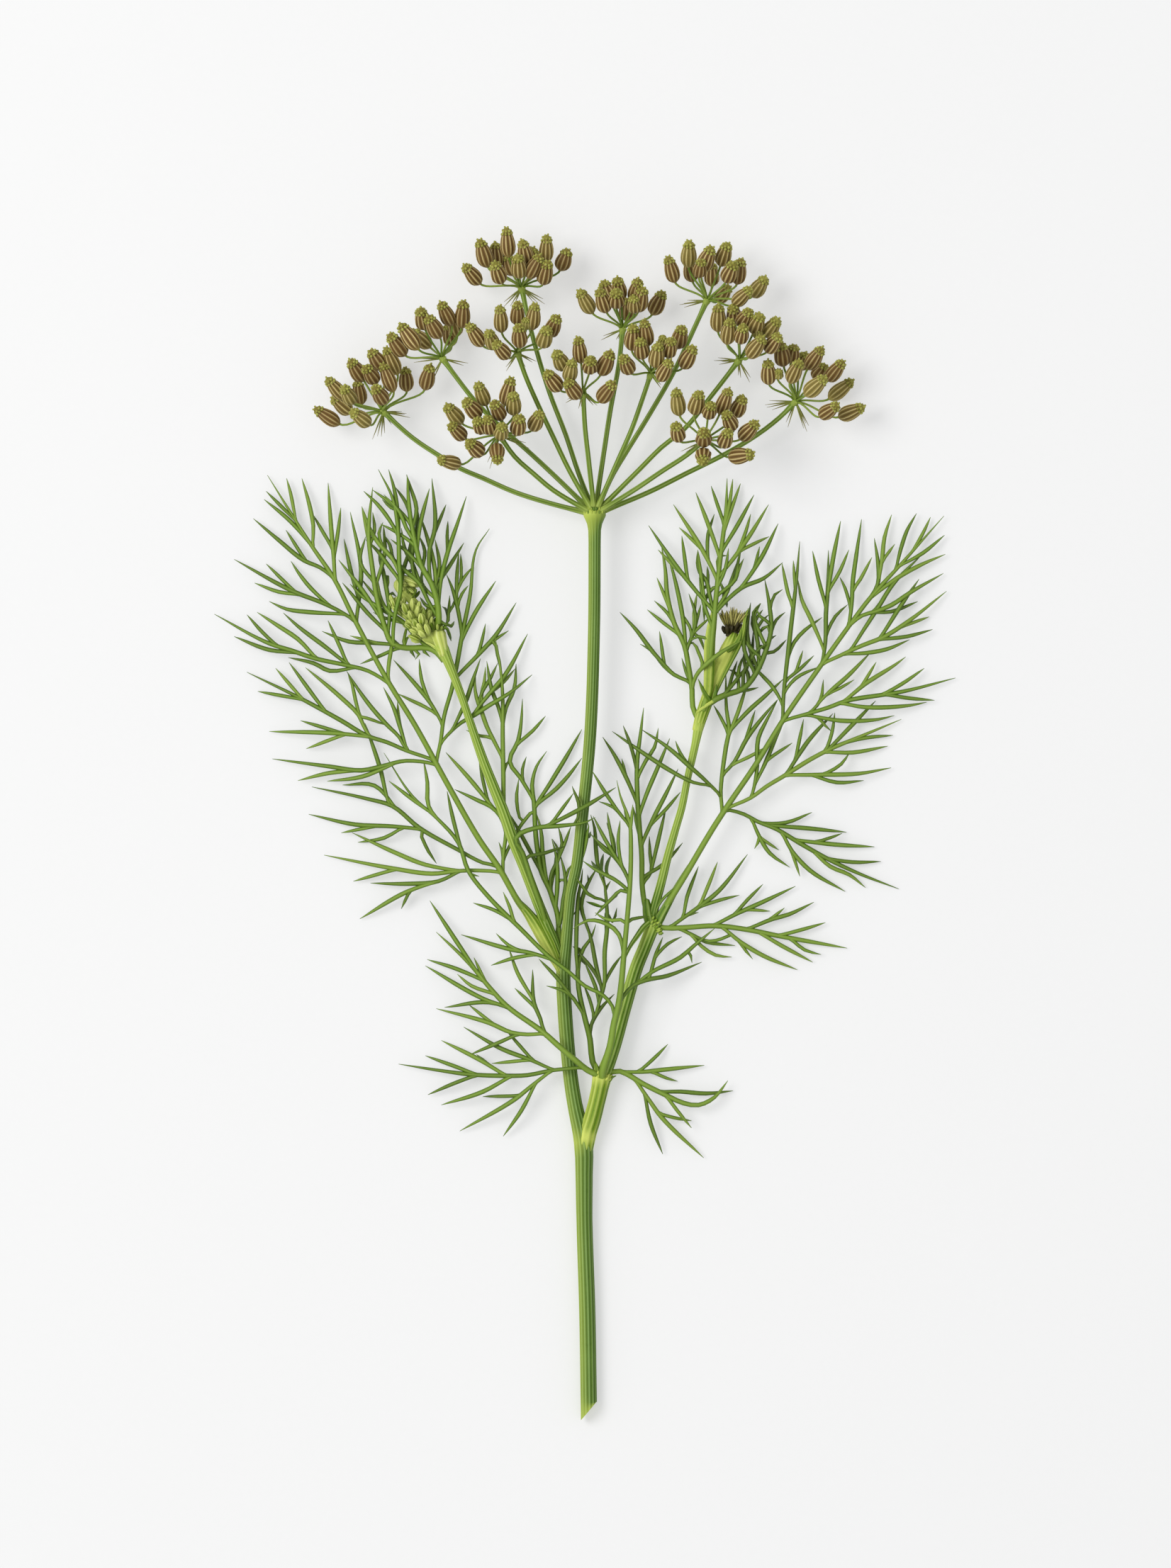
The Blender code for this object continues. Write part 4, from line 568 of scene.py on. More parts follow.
# A bud is clumps of florets: where a clump starts, its way, how many, how long and how thick they are,
# how far they spread, and their tone.
buds = {
    "left_bud": {
        "skin": "budGreen", "slot": "bud_green", "seed": 5, "packing": 2.4, "root": (-22.9, 28.6, 3.2, 0.9),
        "clumps": [
            ((-24.7, 29.3, 3.5), (-0.55, 0.83), 13, (1.4, 2.3), (0.34, 0.66), 0.8, 0.3),
            ((-25.9, 31.0, 3.4), (-0.35, 0.93), 13, (1.4, 2.3), (0.34, 0.68), 0.85, 0.35),
            ((-27.5, 32.9, 3.3), (-0.25, 0.97), 11, (1.4, 2.3), (0.34, 0.62), 0.7, 0.3),
            ((-24.8, 31.9, 3.4), (0.0, 1.0), 8, (1.5, 2.1), (0.32, 0.45), 0.55, -0.25),
            ((-25.2, 30.4, 3.9), (-0.45, 0.89), 10, (1.3, 2.0), (0.34, 0.5), 0.95, 0.5),
            ((-26.8, 32.2, 3.8), (-0.2, 0.98), 8, (1.3, 2.0), (0.32, 0.48), 0.9, 0.2),
            # drawn dark as painted shade: this clump fills the shaded hollow above the wrap
            ((-23.6, 30.3, 3.7), (-0.15, 0.98), 9, (1.3, 2.0), (0.22, 0.34), 0.55, -0.9),
            ((-22.9, 30.2, 3.9), (0.1, 0.99), 7, (0.9, 1.4), (0.2, 0.3), 0.5, 0.1),
            ((-29.5, 33.8, 3.2), (-0.2, 0.98), 9, (1.4, 2.1), (0.26, 0.42), 0.5, 0.3),
            ((-29.3, 38.0, 3.3), (0.85, -0.5), 7, (1.2, 1.8), (0.22, 0.4), 0.4, 0.3),
            ((-28.0, 37.6, 3.3), (0.88, -0.45), 8, (1.3, 2.0), (0.24, 0.42), 0.45, 0.25),
            # drawn dark as painted shade: this clump fills the shaded gap between the lumps
            ((-27.4, 35.4, 3.2), (0.15, 0.99), 6, (1.2, 1.7), (0.24, 0.34), 0.6, -0.6)],
        "wraps": [
            "-22.1,26.4,3.3,0.8 -22.5,28,3.4,0.98 -22.8,29,3.5,1.15 -23,29.8,3.5,1.22 -23.05,30.3,3.5,1",
            "-22.5,27,3,0.4 -23.6,27.9,3.1,0.38 -24.8,28.6,3.2,0.32 -25.9,29.2,3.2,0.1",
            """
-25.6,37.6,4,0.1 -26.6,37.9,4.2,0.42 -27.8,38.4,4.2,0.5 -28.8,38.6,4.1,0.42 -29.1,37.4,4,0.34
-29.1,35.8,3.8,0.25"""]},
    "right_bud": {
        "skin": "budBrown", "slot": "bud_brown", "seed": 8, "packing": 1.9, "root": (23.1, 28.8, 2.9, 0.7),
        "clumps": [
            ((22.5, 29.7, 3.1), (0.05, 0.99), 8, (1.2, 1.7), (0.28, 0.4), 0.5, -0.95),
            ((23.6, 30.1, 3.1), (0.45, 0.89), 8, (1.2, 1.7), (0.26, 0.38), 0.5, -0.95),
            ((22.3, 30.9, 3.3), (-0.2, 0.98), 16, (1.9, 2.7), (0.1, 0.17), 0.4, 0.15),
            ((23.2, 31.0, 3.3), (0.12, 0.99), 18, (2.1, 3.0), (0.1, 0.17), 0.42, 0.25),
            ((23.9, 31.4, 3.2), (0.5, 0.86), 12, (1.3, 2.2), (0.09, 0.16), 0.45, 0.1)],
        "wraps": []},
}


def buildBuds():
    for name, plan in buds.items():
        shape, marks = newShape()
        chance = random.Random(plan["seed"])
        *root, rootRadius = plan["root"]
        for place, way, count, lengths, (thin, thick), spread, tone in plan["clumps"]:
            start = Vector(place)
            heading = Vector((*way, 0.0)).normalized()
            stalk = stemPath([(*root, rootRadius), (*Vector(root).lerp(start, 0.6), thick * 1.1),
                              (*start, thick * 1.2), (*(start + heading * 0.7), thin * 0.8)],
                             ringSpacing["small"])
            sweepRun(shape, marks, stalk, 12, tone=tone, span=(0.05, 0.3))
            side = heading.cross(upward).normalized()
            for step in range(count):
                reach = math.sqrt((step + 0.5) / count)
                out = around(side, upward, step * goldenTurn)
                aim = (heading + out * spread * reach).normalized()
                foot = start + out * reach * thick * plan["packing"] + heading * 0.4 * (1 - reach)
                tip = foot + aim * chance.uniform(*lengths)
                addFloret(shape, marks, foot, tip, chance.uniform(thin, thick),
                          tone + chance.uniform(-0.7, 0.4))
        for way in plan["wraps"]:
            sweepRun(shape, marks, stemPath(readPoints(way), ringSpacing["small"]), 24,
                     ridgeSection(7, 0.12), 0.35, span=(0.3, 0.8))
        placePiece(f"{name}_florets", shape, skins[plan["skin"]], plan["slot"], name)
    print("buds built:", len(buds))



# Each leaf as an indented outline: a line is one thread or stalk, x,y or x,y,z, that starts on the
# line it is indented under and ends at its tip. A line that starts with + goes on from the one above.
leafOutlines = {
    "left_leaf": """
-8.8,-14.2,2.5 -10.4,-12.3,2.3 -11.5,-10.4,2.1 -13.3,-7.2,2 -16.6,-2.4,1.6 -21.3,5.8,1.4 -26.7,15.6,1.2
+-31,22.6,1.2 -36.2,32.2 -39.3,38.4 -42.9,43.7 -49.8,54.7
  -13.1,-7.6 -12.8,-5,1.9 -12.4,-1.5,1.7 -12.7,2,1.6 -12.8,8,1.6 -12.9,14,1.6 -12.9,20,2 -13.2,24,2.6
+-14.1,29.4,2.8
    -12.8,-5.4 -13,-4.2 -13.5,-2.9,1.4
    -12.3,-5.4 -11.8,-3.4,1.4 -10.9,-1.7,1.2
    -12.4,-1 -13.3,1.2 -14.7,2.7 -16.6,3.6 -20.4,5.4,2.4
      -14.5,2.5 -15.8,4.3 -18.2,7.2 -21.8,11.2,1.6
        -15.4,3.9 -15.9,6.4 -16.6,9.8,1
    -12.8,8.4 -12.3,9.4 -11.6,10.2,1.2
    -12.8,10.6 -14,12.5 -15.4,15.3 -16.2,17.6 -17,19.8 -17.3,22 -17.1,24.2
      -14.8,14 -16.4,13.8,1.3 -18.6,14.7,0.8
      -16.4,18 -16.2,20.4 -15.8,22.2 -15.6,24.6
      -16.9,19.4 -16,20.9 -14.8,22.9 -13.7,25.2
    -12.9,15.6 -12.4,18.2 -11.1,21.2 -10.8,25.1
    -12.9,16.2 -13.6,18.4 -14.6,21 -15.4,25.5
  -13.3,-7.2 -17,-7.3 -20,-7.4 -24,-7.8 -30,-7 -40.9,-4.9
    -20,-7.3 -25,-6.4 -30,-4.4 -36.5,-1.4
    -30,-7 -36.3,-9
    -20,-7.5 -23,-9 -28,-9.4 -33.6,-9.3
      -24,-9.3 -27.8,-10.6 -35.3,-14.9
        -27.8,-10.7 -28.8,-13.3
  -14,-6.2 -16,-6.1 -20,-4 -26,-0.6 -30.2,2.8 -34,3.9 -42.8,5.8
    -26,-0.6 -30,-0.4 -36,-0.1 -43.3,1.5
      -29,-0.8 -31.5,-2.2 -35.6,-2.9
      -33,-0.3 -38.2,-1.4
    -30.2,2.8 -33,6 -38,6.1
    -31,4 -32.2,9 -34.5,15.8
    -26.3,-0.9 -25,-3.4 -23.3,-6.2
  -23.3,9.8 -28,9.9 -32,9 -35,8.4 -40,9 -49,10.2
    -35,8.4 -40,8 -45,6.8
    -30,9.6 -35,7.4 -40.4,6.7
  -23.8,10.4 -28,11.5 -31,12.8 -34.1,13.8 -38.2,16.2 -44.6,19.7 -53,23.8
    -44.6,19.7 -51.3,20.8
    -44.6,19.7 -48.5,24.4
    -41,18 -46.4,25.3
    -34.1,13.9 -34.7,15.4 -35.5,17.1 -38,19.6 -43.8,24.5
      -35.5,17.2 -36,19.5 -36.5,21.8 -37.2,23.6
      -35.4,17.6 -34.2,16.6 -31.2,15.5,1.8
    -34.1,13.8 -39,14.2 -49.5,14.5
      -38,14.1 -44.6,16.2
      -38,14 -43.7,11.8
    -28.2,11.7 -28.8,14.6 -29.9,18 -31.6,21.4
      -28.8,14.4 -29.2,16.6 -29.4,19.2
    -28.3,11.9 -29.1,13.6 -31.1,15.6 -33.5,18.3 -35.5,21 -37.4,24
  -23.4,10 -22.6,13 -22.1,16.8 -20.8,21.5,0.7 -20,25.5,0.7 -19.2,30 -18,36 -17.1,43 -15,46.3
    -22.2,16 -24.2,18.9 -26.5,21.8 -30,25.7
      -23.4,17.5 -25,18.3 -27.5,19.5 -29.3,20.4
      -24.6,19.4 -25.6,22.5 -26,25.8
    -22.5,13 -21,14.5 -19.4,15.9,0.9 -17.6,16.9,1 -15,18.6,2.6 -12,20.4,2.8 -8.3,23.4
      -17.4,17 -16,19.2,2.6 -14.3,21.2,2.8 -12.5,23.4 -9,29.8
        -14.6,20.8 -12.7,22.3 -11,24.3
      -20.6,14.9 -19.6,17.2 -18.5,19.7,1.4 -17.5,22.8 -16.4,25.9
    -19.6,29 -17.3,33 -14,38.1
    -19.2,30 -19.8,33 -20.4,35.6 -20.9,37.2 -21.7,39.1,2.4
      -20.2,35 -20.1,38.5 -19.8,42.6
      -20.1,34.6 -19.3,36.1 -18.3,37.4
      -20.1,36 -19.4,38 -18.4,39.4 -17.5,40.5
        -19.2,38.3 -19.4,40.3 -19.5,42.4
    -19.9,23 -16.5,26.8 -14,29.6 -10.8,34.7
      -16.5,26.8 -16.1,29 -15.6,31.4
      -15.4,28 -14,29 -12,30.3
      -14.2,29.4 -13.7,26.5 -13,23.3
  -31,22.7 -30.8,24.5 -30.5,26.6 -30.1,29.2,2.2 -29.8,31.6,2.6
  -30.8,22.4 -34,24 -37.5,24.9 -42.5,26 -46,27.2 -49.5,28.3 -58.1,32.9
    -48.5,28 -50.5,30 -53,32.8
    -45.5,27 -49.5,27.3 -55,29.4
    -36.5,24.4 -40,24 -42.5,25.2 -46.5,26.1
    -37.3,25 -41,28 -45,31 -47.3,33.1
    -42.5,26 -45,29 -48,31 -51.4,33.2
    -37.5,24.9 -38.5,28 -40.3,31.9
  -36.2,32.2 -38,33.1 -41,34.6 -45.8,36.5 -55,41.5
    -38,33.1 -43,33.2 -46.8,33.7 -49.5,34.9
    -45.8,36.5 -50,40.8
    -45,36.2 -48,36.4 -51.8,37.8
    -40.3,34.2 -43,37 -45,39.5 -46.1,41.2
  -39.6,39 -41.5,40.2 -44,41.3 -48,44.5 -52,47.9
    -44,41.4 -46.9,46.1
  -39.3,38.6 -39.4,42 -39.8,46.5 -40.3,53.5
    -39.4,42 -38.7,46 -38.3,49.6
    -39.6,43.5 -41.5,46.5 -42.7,48.6
  -42.9,43.8 -42.6,46.8 -43.2,50 -44.4,54.2
  -42.9,44 -46,47.3 -50.3,50.9
  -45.4,48 -50,52.2
  -45.3,48 -46.2,52 -46.8,54.2
  -36,32 -35.4,35.5,1.6 -35.1,40,2 -36.8,48.9,1.4
    -35.4,35.5 -36.8,40 -37.8,44.7
""",
    "center_leaf": """
2.7,-40.2,2.6 2.8,-38.6,4.2 3.9,-35,4.7 4.6,-31,4.7 5.2,-28.6,5 5.7,-25,5.2 6.1,-20.4,5.2 6.6,-15,5.2
+7.1,-8.5,5.2 7.2,-3.5,5 7,0.2,5 5.5,4.5,4.8 5,6.8,4.8
  4.7,-30.4 4.3,-28.6,5 2.8,-26.8,5.2 0,-25.4,5.4 -2.5,-23.2,5.4 -5.5,-20.9,5.4 -10,-16.5,5
+-15.3,-11.2,4.4 -18.3,-7.3,3.8 -19.8,-3,3.4 -23,0.7,3.4 -27,4.3,3 -31.5,11.1,2.2
    -19.6,-3.5 -20.6,0.5 -21.6,5.1,3
    -18.3,-7.3 -16.6,-8.2,3.8
    -22.5,0.3 -24.5,2.8 -24.7,6.5 -25.3,10,3.2
    -24.5,1.6 -27.5,4.2 -30.7,6.7,2.6
    -11.3,-15 -11.8,-13 -12.8,-10.7,4.4
    -11.8,-14.8 -14,-13.6 -17.5,-12.4,3
    -5.2,-21 -8.5,-20.2 -11.5,-19.7 -19.4,-17.4,1
      -10.5,-19.9 -12,-19 -13.9,-17.2,3
      -8,-20.4 -11,-21 -14.7,-22.2,1
  5.3,-28 6,-27 7.6,-25.3,4.8 9.5,-24.5,4.2 13,-23.8,2.4 18.3,-21.7,1
    8.4,-24.9 10.5,-23.2,4 15,-20.9,2.4 17,-19.2,1.6 20.3,-16.4,3.2
      16.6,-19.5 16.8,-21.8
    10.2,-23.4 11.2,-20.2 12.2,-17.8,1.4
      11.1,-20.6 13,-18.8 15.2,-17.7,1.2
  6.1,-20.3 5.3,-17.3 3.5,-15.7,5 0.5,-15.1,5 -1.8,-16.4,4.8
  7,-14.8 8.4,-14.7 10,-14.5,4.2
  6.8,-14.9 5.6,-15 4.2,-15.1 3,-14.8,5.4 1.6,-13.9,5.6
  6.9,-9 6.2,-7.4 4.5,-5,5.4 2.3,-3 0.8,-1.5,5.6
    5.5,-6.2 3.2,-2.5 1.3,1.2,5.6
    5.6,-6.2 5.2,-3 5.5,0.5,5.4
    4.7,-5 4,-1.3 3.5,1.8,5.6
      4.9,-4.6 4.4,-2.4 3.4,0.2
    5.4,-6 4.2,-4.8 3.2,-4.2 1.3,-2.2
  6.8,-9.9 6,-9.7 4.5,-8.6 2.9,-7.8 1.4,-7 -0.3,-5.8,5.8
    3.1,-7.9 3.4,-6.6 4.1,-4.9
    2.3,-7.4 2.6,-6.2 2.9,-4.7
    1.9,-7.2 1.5,-6.6 1,-5.8
  6.7,-10 5.6,-10.4 4.4,-11.5 3,-12.9 1.6,-14.4,5
    4.1,-11.7 4.6,-11.4 5.2,-10.8
    2.6,-13.3 1.4,-12.6 0.2,-12.2
  7,0 5.8,1.2 4.5,2.6 2.2,3.5,5.4
    5.6,1.4 3.3,4.7 1.2,8.2,5.6
  7.1,-0.5 7.5,3,5.2
  7,-0.3 6.6,0.8 6.1,2.5,5.2
""",
    "lower_left_leaf": """
2.1,-39.4,3.2 0.4,-38.6,3.3 -1.3,-37.2,4.4 -4,-34.9,4.4 -6.6,-32.6,3.4 -12.3,-28.5,1.8 -15,-25.6 -18,-22
+-23.3,-17
  -17.2,-23.3 -19.5,-19.4 -22,-15.6 -24.3,-12.1
  -16,-24.2 -20,-22.8 -24.7,-21.3
  -15.8,-24.6 -17.4,-21,1.2
  -14.2,-26.2 -17.8,-25.4 -20,-23.6,1.4
  -12.3,-28.4 -16,-27.4 -25,-22.3
  -12.1,-28.6 -15,-28 -22,-28.8
  -6.7,-32.7 -9,-33 -11.5,-32.7 -15,-31.2 -23.3,-29
    -14.6,-31.3 -18.2,-28.4
    -10.8,-33 -14,-34.5 -18,-36.2,1.8
  -6.7,-32.5 -7,-30.5 -8,-28 -8.2,-22.9,1.6
    -7.9,-28.4 -11,-25.8
    -8.1,-27.2 -10.6,-23.3 -11.9,-19.6,1.4
  -0.6,-38 -3,-38.4,4.4 -5.5,-38.7,3 -9,-39.4 -13,-39.5 -18,-39.3 -22,-38.8 -29.2,-37.7
    -17.3,-39.2 -20.5,-38 -25,-36.4
    -17.3,-39.4 -20,-40.5 -24.6,-42.5
    -12.8,-39.3 -16.5,-37 -22.5,-34
      -15.2,-38 -17,-36.2
    -12,-39.7 -16,-42 -22.5,-44.1
    -5.3,-38.7 -8.5,-37 -13,-35.3 -19,-31.9,1
      -9,-37 -14.6,-37.6
      -8.5,-37 -10.2,-34.8 -12.3,-32.4,2.2
    -5.6,-38.8 -8,-40.8 -11,-43.2 -19.6,-48.2
      -10.6,-42.9 -16,-42.8
      -7.9,-41 -10,-45 -12.8,-49
""",
    "lower_right_leaf": """
3.3,-39.1,2.4 5.5,-38.8,2 6.5,-39.2,1.8 9,-40.7 12.4,-42.4 15.5,-43.8 17.8,-44.1 20.3,-42.9 22.4,-40.3,1.6
  6.1,-39.1 9,-38.9 12,-38.6 18.7,-37.9
    8.8,-38.8 10.6,-37 13,-34.6
    10.8,-38.8 12.8,-39.9 14.5,-40.4
  12,-42.3 15,-42 19,-42.3 23.2,-41.9
  13,-42.8 14.5,-45 16.7,-47.7,1.6
  8.1,-40.2 9.7,-42.8 12,-46 18.6,-52.4
    9.6,-42.7 10.3,-47 12.2,-51.8
    11.8,-45.7 14,-46.1 16.7,-46.6
""",
    "middle_leaf": """
2.2,-39.2,2 1.2,-37.3,1.6 1,-36,1.6 0.8,-33.8,1.8 0,-30.5,2 -0.8,-27,2 -1.1,-24.5 -1,-21.8 -0.2,-19.5
+0.9,-18 1.7,-15.8
  -1,-22.6 -1.35,-20.6 -1.35,-18 -1.3,-15.7 -1.2,-13.5 -1,-11 -0.6,-9 -0.35,-7,1.6
    -1.3,-20.8 -0.7,-21.2 0,-22.1
  -0.3,-19.8 -0.9,-19.6 -1.7,-19.2
  1,-17.6 0,-15.2 -0.6,-12.9 0.3,-9.7 1.6,-7.4 2,-6.7
    -0.3,-12.2 -1.1,-13.4 -1.9,-14.4
    0.2,-10.2 0.6,-9 0.4,-8
  -0.4,-29.6 -1.1,-28.4 -2.4,-26.7 -4,-25.9,4.6 -6,-25.4,4.4
    -2,-27 -4.5,-24,4.8 -7.2,-21.2,3
  0.8,-33.2 1,-31.5 1.8,-29.9 3,-28.3 4.6,-26.7,2.6
    2.2,-28.6 1.9,-26.4 1.2,-24.4 0.5,-22.9 -0.1,-21.6
    1.8,-29.9 2.3,-27.8 3,-25.4 3.1,-20 3.5,-15.8 3.1,-9.5 2.6,-6.5
      2.8,-25.8 1.7,-22 1,-18.2 0.3,-15.4
      2.9,-25.9 2,-24.1 0.9,-22.4 -0.2,-21.1 -1.2,-19.9 -1.9,-19.2,2
      3,-24.5 4.6,-22.2 5.8,-20.6
      3.3,-13.4 3.7,-14.4 4.3,-15.3 5,-13.2
      2.9,-11.3 3.2,-10.4 4,-9
      3.1,-11.6 1.6,-11.6 0.4,-10.9 -0.4,-9.8 -1.5,-8.3,5.2
      2.6,-9.5 2.1,-6.9 1.7,-3.6 1.5,-0.6 0.9,1.4
      3.4,-17 3.3,-15.6 3.1,-14
    1.7,-30.1 0.7,-27.4 -0.2,-25.3,1.2
""",
    "left_center_leaf": """
-3.9,-18.8,2.2 -4.1,-16.6,1.5 -4.3,-14.2,1.2 -5,-12,1 -5.6,-10.2,0.9 -6.4,-8.6,0.9 -7,-7,0.9 -7.3,-5
+-7.7,-2,0.8 -8,3.4,0.8 -8.3,6 -7.6,9 -6,11.4
  -7.9,3 -5.5,6.3 -3,10.4 -0.5,14.8
  -7.8,3.2 -4.5,5.5 -2.5,7.7 -0.5,10.3
  -8.1,4.2 -10.1,7.2 -11.8,9.8 -10.5,13 -10,16 -9.8,19.6
    -10.5,12.8 -8.2,14.6 -6.2,16.9
    -10.1,7 -9.8,8.6 -9.2,10.5
  -7.9,2.6 -9.2,0.9 -10.3,-0.6 -12,-3,0.5
    -10,-0.2 -10.7,3.5 -10.4,7,1.4
  -7.1,-7.5 -9.3,-3 -11.9,1.7,0.5
  -6.9,-9.6 -6.6,-5 -6.9,-1 -7.6,1.6,1.2
  -5.3,-15.2 -4.6,-13.4 -4.4,-11 -4.3,-8 -4.5,-5 -5.2,-2.4
  -5.2,-16.6 -4.4,-17.2 -3.9,-15.6 -3.4,-12 -3,-9.6 -3.2,-7.6 -3.9,-4.8
    -3.3,-8.2 -3.8,-8.8 -4.6,-9.8
    -3.1,-8 -2.6,-7.2 -2.1,-6.4
  -5.6,-10.2 -5.1,-8.6 -4.7,-6.8 -4.7,-5
  -6.8,-11.4 -5.4,-8.5 -4.1,-4.5 -5.1,-2.4
    -4.2,-5 -3.6,-3 -4.2,-0.4
    -4.3,-5.4 -3.3,-3.4 -2.2,-0.4
""",
    "cross_leaf": """
-5.9,-16.6,3 -6.7,-13.6,3.6 -8.3,-9,4.2 -9.8,-4.5,4.4 -10.8,-2.2,5.6 -8,-0.7,5.8 -4,-0.3,6.2 0.2,0.3,6.6
+1.6,1,6.2
  -5.8,0,6 -2.5,1.4,6.6 0.8,3.2,6.6 4.8,5.7,5.8
    -5,0.4 -3.4,2.6 -1.8,4.8,5.8
  -1,-0.2 -0.9,2.4,6.6 -2,5.9,5
  1,0.6 0.4,-1.4,5.4 0.1,-3.4,4.6 -0.2,-5.2,4.4
    0.3,-2 0.6,-2 0.9,-1.2
  -9.6,-4.9 -6.4,-4.6,3.6 -3.1,-3.5,2
""",
    "right_center_leaf": """
10.2,-15.2,2.6 9.6,-13.6,3 9,-10,2.6 8.9,-5,2.2 8.5,0,1.8 8.2,5,1.4 8.2,10 8.7,14,1.7 9.2,18.2,1.2
  8.3,3.4 6.6,7 4.5,11 2.8,13.6
    6.2,7.8 5.8,10.2
  8.2,9 7.2,12.2 6,15.4,1.7
  8.3,7.5 9.6,10 10.9,12 11.5,15,1.4
  8.4,1.5 9.6,4.5 11.4,8.8 13.3,13.4,1
  8.9,-3 10.6,0.6 12.6,4.5 14.6,8.6,1.9
    10.4,0.2 12.8,2.4 15,5
  8.8,-2 8,0.5 7.6,2.6
  9.1,-9 10.4,-7.4 10.2,-4.6 10.1,-2
    10.4,-7 11.4,-3 12.7,2.4
  10,-8 12.2,-6.4 13.6,-5 15.3,-3
""",
    "right_leaf": """
11.2,-15.8,2.4 12.7,-13,2.7 15.5,-8.4,2.8 20,-0.8,2.4 22.2,2.6,2 26.5,8.9,1.6 31.2,16.5,1.4 36.8,24.6
+41.8,31.6 44.6,35.3 49.7,40.9 56.3,48.3
  21.8,2 21.3,5.2,1.8 22.1,12,1.6 22.6,14.8 22.2,18 22.1,23.8
    21.5,4.8 19.3,6.4,3.2 16.2,9.2,4.5 13,12,3 8.9,14.8
      19.4,6.3 17,6.5,4.3 14,8,3.6 10.5,10.2 4.3,14.5,0.5
      16,9.4 14.9,11.2,4 14.2,13,3.4
    21.9,8 23.4,9.7 25.4,13.4 27.3,16 30.2,19.5,0.9
      23.3,9.6 25.5,10.4 29,12.3,2.8
      25.4,13.3 26.7,17.8
    22.6,14.6 21.3,16.7 20.2,18.6,0.5
    22.7,14.2 24,17.5 25,20.6 25.6,22.5
    23,14.8 25.5,17.6 28.4,20.2 31.2,22.8,0.5
  22.9,2.4 26,4.1 28.5,5.9 31,7.4 35.5,10.2 39,12 41.2,12.9 49.6,16.4
    31.8,7.9 36,7.7 43,7.9 48,8.8
      36,7.6 39.5,6.5 43.7,6.8
      37.8,7.9 40.2,9.4 41.5,11.2,1.4
    38,11.5 42,11.2 47.5,12.2
    41,12.8 44,13.5 48.3,13.9
    26.5,4.4 26.9,8 27.2,13.5 28.2,15.7 30.2,19.4
      26.9,6.4 28.2,9.4 30,13.6 31.2,16,0.6
        28.8,10.3 32.5,12.7
    31.9,8 33.3,10.5 35,13 38.9,17.3
      33.2,10.3 33.6,13 34.3,16.4
    38.1,11.6 38.7,14.2 39.2,17.4,1
    38.4,11.8 41.4,15 45.6,19.3,0.5
  31.4,16.4 35,17.3 38,18.2 41,19.3 47,20.3 50,20.8 58.1,22.9
    41,19.3 44,22 48.7,25 50.3,26.2
      43.6,21.8 45.7,25.4
    47,20.3 49.6,21.9 53.2,24.4
    47.5,20.4 51,19.7 54.8,19.4
    40.5,19 44,18.3 51,18.6 53.6,19.1
    35,17.2 40,16.2 46,16.4 48.5,17,0.5
    35.6,17.6 36.9,19.4 37.4,22.6
      36.8,19.2 38.3,20.7 41,23 44.8,26.9
        38.2,20.6 40,21.3 42.2,22.6
    34.5,17.2 36.5,16.7 37.7,15.4 38.7,14.5,0.8
  31.2,16.6 31.1,19.5,1.8 31.4,23,1.8 31.8,26.4 32.2,30 32.7,34.2 33.2,38.5 33.7,44.3
    32.7,34.4 31.9,36 30.9,40.9
    33,37 32.7,41.3
    31.9,26.2 32.8,28.5 34.5,30.4 37.2,32.4,0.6
    31.5,22.8 33.6,24.2 35.9,26.4,1.6
      33.4,24 34.2,27.2
    31.2,21 33,22.8 36.6,24.6,2.2
    31.1,19 29.6,21.3,1 27.5,23.6 25.8,25.4,0.8
  37.4,25.5 37.7,28.5,1.4 37.8,33,1.4 38.1,37 38.2,42.9
    38,36 38.9,41.5 40.1,47.5
    37.7,27.6 35.5,32 34,35.2 33.4,38.4,0.5
    37.8,34.4 36.6,38.4 35.7,42.8,1.6
    37.8,30 39.3,32.6 41.2,34.4
    38.1,36.8 40,39.7 41.4,43
  37.4,25.4 40,26.4 43.5,28 46.8,29.3 51,32 56.7,36.5
    46.6,29.3 49.5,34.2 52.4,38.4
    49.6,31.2 51.5,31.6 54,32.5
    46.4,29.1 50.5,29.4 54.5,30.5
    41,26.7 44,26.8 47.3,27.4 50.9,28.9
    42,27.4 43.8,30.6 46,34 48.3,37.6 52.8,42.2,1.2
  41.6,31.3 41.8,34.2 42,38 42.4,41 43.4,47.8
    41.8,34 40.8,37 40,38.7
    42.1,37 43.2,38.4 45,41.8
  41.6,31.5 43.5,32.7 45.5,33.3 48,34.3 51,36.3 56.2,39.3
    45.6,33.3 48,33.3 52.2,34.9
    45.6,33.3 46.8,35.4
  44.8,35.4 45.9,37.6 46,40.5 45.4,44.8
    46,38.6 46.6,41.5 47,45 48.1,48.5
      46.7,41.6 48.6,43.9
  45,35.7 49,38.6 53,40.8 56.5,42.3
  49,40.2 49.5,43 50.5,46 52,48.7
  49.6,40.8 53,42.5 56.4,45.3
  51.4,42.8 52.8,45.2 54.2,48.1
  22.8,2.2 25,1.5,1.4 27,0.4 30,-0.8 33.5,-2.9 38.3,-5.6 43,-7.8 49.2,-10.2
    28,-0.1 31.5,0.2 35.6,1.8
    29,-0.5 35,-0.7 41,-1.3
    33.2,-2.8 37,-3 40,-3.3 45.4,-3.6
      36.5,-2.9 38.4,-2.2 40.3,-1.5,1.4
    38.3,-5.7 42,-6 46.4,-5.9
    36,-4.6 38.5,-6.7 41.5,-8 44,-10
    31.2,-1.6 32.5,-4.3 35.3,-7.3 40.8,-10.6
      32.4,-4.2 33,-6 33.7,-8.2
    26.4,0.6 27.5,-2.3 29,-4.6 32.1,-6.8
      27.6,-2.5 30.4,-4.1
      27.6,-2.7 26.6,-3.9
""",
